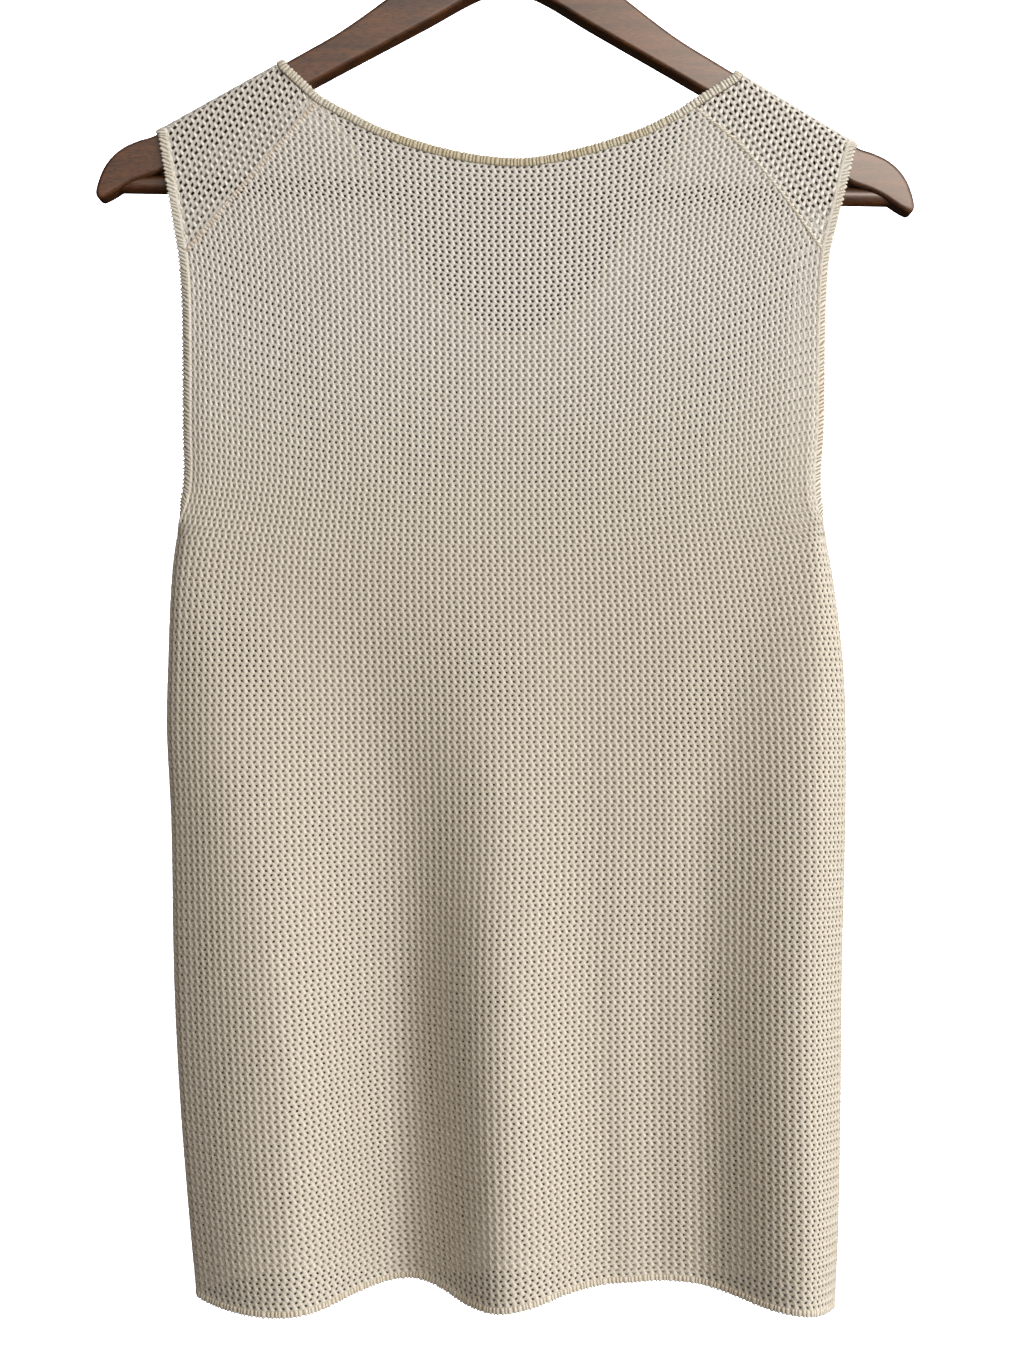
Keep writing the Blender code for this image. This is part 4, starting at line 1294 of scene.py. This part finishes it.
class TANKTOP_OT_seams(bpy.types.Operator):
    """Shoulder seams on the back and the side seams, which join the panels"""

    bl_idname = "tanktop.seams"
    bl_label = "Add Seams"

    def execute(self, context):
        # each seam's second colour is the painted shade in its grooves
        flat = rib_material(
            "linked_seam_yarn_flat", colour("E6DFD6"), colour("C4B8A8"), RIB_PITCH, speck="D2C6B8"
        )
        # the raised seam's yarn is drawn lighter than the flat one's: a painted highlight on its ridge
        raised = rib_material(
            "linked_seam_yarn_raised", colour("F6F1E8"), colour("D0C6B6"), RIB_PITCH, SEAM_SLANT
        )
        for side, yarn, shape in (("left", flat, FLAT_SEAM), ("right", raised, RAISED_SEAM)):
            name = "seam_shoulder_" + side
            data = band_mesh(name, shoulder_line(side), closed=False, **shape)
            add_piece(name, data, yarn, [])
            name = "seam_side_" + side
            data = band_mesh(name, side_line(side), closed=False, **SIDE_SEAM)
            add_piece(name, data, flat, [])
        return {"FINISHED"}


def flag_mesh():
    """The back's own outline, a little inside the cloth: the panel's body and both straps."""
    mesh = grid(FLAG_STEPS, FLAG_STEPS)
    share, height = spots(mesh).T
    form, line = panel_form("back"), top_line("back")
    top = np.full(len(share), FLAG_TOP)
    for _ in range(4):
        x = on_panel(form, -1, share, top)[0][:, 0]
        top = np.interp(x, line[:, 0], line[:, 1])
    top = top - FLAG_EDGE
    points = on_panel(form, -1, share, lerp(hem_line("back", share, FLAG_HEM), top, height))[0]
    move(mesh, points * (FLAG_SPREAD, 1.0, 1.0) + (0.0, FLAG_DEPTH, 0.0))
    parts = [mesh_data("flag", mesh)]
    for side in OUT:
        table, normals, _ = strap_form(side)
        table = np.concatenate((2 * table[:1] - table[1:2], table, 2 * table[-1:] - table[-2:-1]))
        normals = np.concatenate((normals[:1], normals, normals[-1:]))
        last = np.array(table.shape[:2]) - 1
        mesh = grid(*(int(count) for count in last))
        column, row = np.round(spots(mesh) * last).astype(int).T
        move(mesh, table[column, row] - normals[column, row] * FLAG_DEPTH / 4)
        parts.append(mesh_data("flag", mesh))
    return joined("flag", parts)


def flag_object():
    """A studio flag just inside the back, which only keeps the backdrop's light off the wall behind it."""
    data = flag_mesh()
    data.materials.append(board_material("black_flag_cloth", "202020"))
    obj = add_object("flag", data)
    for kind in ("camera", "diffuse", "glossy", "transmission", "volume_scatter"):
        setattr(obj, "visible_" + kind, False)
    return obj


def area_light(name, place, target, receivers, blockers, size, power, tint="FFFFFF"):
    """A rectangular light that lights only its receivers, and casts shadows only of its blockers."""
    light = bpy.data.lights.new(name, "AREA")
    light.shape = "RECTANGLE"
    light.size, light.size_y = size
    light.energy = power
    light.color = colour(tint)[:3]
    obj = add_object(name, light)
    obj.location = place
    obj.rotation_euler = (Vector(target) - Vector(place)).to_track_quat("-Z", "Y").to_euler()
    obj.light_linking.receiver_collection = receivers
    obj.light_linking.blocker_collection = blockers
    return obj


def board(name, matrix, sizes):
    """The backdrop or the floor, cut off where they meet."""
    mesh = bmesh.new()
    bmesh.ops.create_grid(mesh, x_segments=1, y_segments=1, size=BOARD_HALF_SIZE, matrix=matrix)
    for vertex in mesh.verts:
        if name == "backdrop":
            vertex.co.z = max(vertex.co.z, -sizes.floor_drop)
        elif vertex.co.y > 0:
            vertex.co.y = sizes.wall_distance
    data = mesh_data(name, mesh)
    hex_code = WALL_COLOUR if name == "backdrop" else FLOOR_COLOUR
    data.materials.append(board_material("painted_board_" + name, hex_code, name == "backdrop"))
    obj = add_object(name, data)
    obj.visible_diffuse = False
    obj.visible_glossy = False
    return obj


def collection_of(name, objects):
    """A collection of objects for the lights to be linked to."""
    collection = bpy.data.collections.new(name)
    for obj in objects:
        collection.objects.link(obj)
    return collection


def studio_world():
    """Broad soft light from the right and the front, dim and warm on the left. The camera sees white."""
    world = bpy.data.worlds.new("studio")
    world.use_nodes = True
    tree = world.node_tree
    direction = add(tree, "TexCoord", out="Generated")
    towards = Vector((math.sin(SKY_TURN), -math.cos(SKY_TURN), SKY_LIFT)).normalized()
    turned = add(tree, "VectorMath", {0: direction, 1: tuple(towards)}, "Value", operation="DOT_PRODUCT")
    side = add(tree, "MapRange", {0: turned, 1: SKY_FADE, 2: SKY_FULL}, **SMOOTH)
    glow = add(tree, "Math", {0: side, 1: SKY_BRIGHT - SKY_DIM, 2: SKY_DIM}, operation="MULTIPLY_ADD")
    height = add(tree, "SeparateXYZ", {0: direction}, 2)
    share = add(tree, "MapRange", {0: height, 1: SKY_LOW, 2: SKY_HIGH, 3: SKY_BELOW, 4: 1.0}, **SMOOTH)
    glow = add(tree, "Math", {0: glow, 1: share}, operation="MULTIPLY")
    seen = add(tree, "LightPath", out="Is Camera Ray")
    strength = add(tree, "Math", {0: glow, 1: seen}, operation="MAXIMUM")
    tint = add(tree, "Mix", {0: side, 6: colour("FFE2C2"), 7: colour("FFFFFF")}, **RGBA)
    tint = add(tree, "Mix", {0: seen, 6: tint, 7: colour("FFFFFF")}, **RGBA)
    feed(tree, tree.nodes["Background"], {"Strength": strength, "Color": tint})
    return world


class TANKTOP_OT_stage(bpy.types.Operator):
    """Pale floor, grey backdrop, soft studio lights and the camera"""

    bl_idname = "tanktop.stage"
    bl_label = "Add Stage"

    def execute(self, context):
        scene = context.scene
        sizes = scene.tanktop_stage
        middle = -sizes.camera_drop

        camera = add_object("camera", bpy.data.cameras.new("camera"))
        camera.location = (0, -sizes.camera_distance, middle)
        camera.rotation_euler = (math.pi / 2, 0, 0)
        camera.data.lens = sizes.lens
        camera.data.sensor_width = 36.0
        camera.data.clip_start = 0.01
        scene.camera = camera

        wall_up = Matrix.Translation((0, sizes.wall_distance, 0)) @ Matrix.Rotation(math.pi / 2, 4, "X")
        floor_down = Matrix.Translation((0, 0, -sizes.floor_drop))
        backdrop = board("backdrop", wall_up, sizes)
        board("floor", floor_down, sizes)
        flag = flag_object()

        on_wall = collection_of("Lit backdrop", [backdrop])
        flags = collection_of("Flags", [flag])
        meshes = [obj for obj in scene.collection.objects if obj.type == "MESH"]
        garment = collection_of("Lit garment", [obj for obj in meshes if obj not in (backdrop, flag)])
        hanger = [obj for obj in meshes if obj.name in ("hanger_wood", "hanger_bar")]
        wood = collection_of("Lit hanger", hanger)

        def from_middle(across, depth, rise):
            return across, depth, middle + rise

        aim = (0, 0, middle)
        area_light("key", from_middle(*KEY_PLACE), aim, garment, garment, **KEY_LIGHT)
        sheen = area_light("wood_sheen", from_middle(*SHEEN_PLACE), SHEEN_AIM, wood, garment, **WOOD_SHEEN)
        sheen.visible_diffuse = False
        area_light("far_side", from_middle(*FAR_PLACE), aim, garment, garment, **FAR_LIGHT)
        at_camera = (0, -sizes.camera_distance, middle)
        area_light("backdrop_light", at_camera, aim, on_wall, flags, **BACKDROP_LIGHT)

        scene.world = studio_world()
        scene.view_settings.view_transform = "Standard"
        return {"FINISHED"}


class TANKTOP_OT_sheets(bpy.types.Operator):
    """Does nothing: no cut of the cloth is stated"""

    bl_idname = "tanktop.sheets"
    bl_label = "State the Cloth's Cut"

    def execute(self, context):
        return {"FINISHED"}


class TANKTOP_PT_panel(bpy.types.Panel):
    """Lists the steps"""

    bl_idname = "TANKTOP_PT_panel"
    bl_label = "Tank Top on Hanger"
    bl_space_type = "VIEW_3D"
    bl_region_type = "UI"
    bl_category = "Tank Top"

    def draw(self, context):
        for operator in OPERATORS:
            self.layout.operator(operator.bl_idname)
        for group in (context.scene.tanktop_knit, context.scene.tanktop_hanger, context.scene.tanktop_stage):
            box = self.layout.box()
            for key in group.__annotations__:
                box.prop(group, key)


OPERATORS = (
    TANKTOP_OT_hanger,
    TANKTOP_OT_knit,
    TANKTOP_OT_bands,
    TANKTOP_OT_seams,
    TANKTOP_OT_sheets,
    TANKTOP_OT_stage,
)
CLASSES = (KnitSettings, HangerSettings, StageSettings) + OPERATORS + (TANKTOP_PT_panel,)


def register():
    for cls in CLASSES:
        bpy.utils.register_class(cls)
    bpy.types.Scene.tanktop_knit = bpy.props.PointerProperty(type=KnitSettings)
    bpy.types.Scene.tanktop_hanger = bpy.props.PointerProperty(type=HangerSettings)
    bpy.types.Scene.tanktop_stage = bpy.props.PointerProperty(type=StageSettings)


def unregister():
    del bpy.types.Scene.tanktop_stage
    del bpy.types.Scene.tanktop_hanger
    del bpy.types.Scene.tanktop_knit
    for cls in reversed(CLASSES):
        bpy.utils.unregister_class(cls)


def main():
    register()
    bpy.ops.tanktop.hanger()
    bpy.ops.tanktop.knit()
    bpy.ops.tanktop.bands()
    bpy.ops.tanktop.seams()
    bpy.ops.tanktop.sheets()
    bpy.ops.tanktop.stage()


if __name__ == "__main__":
    main()
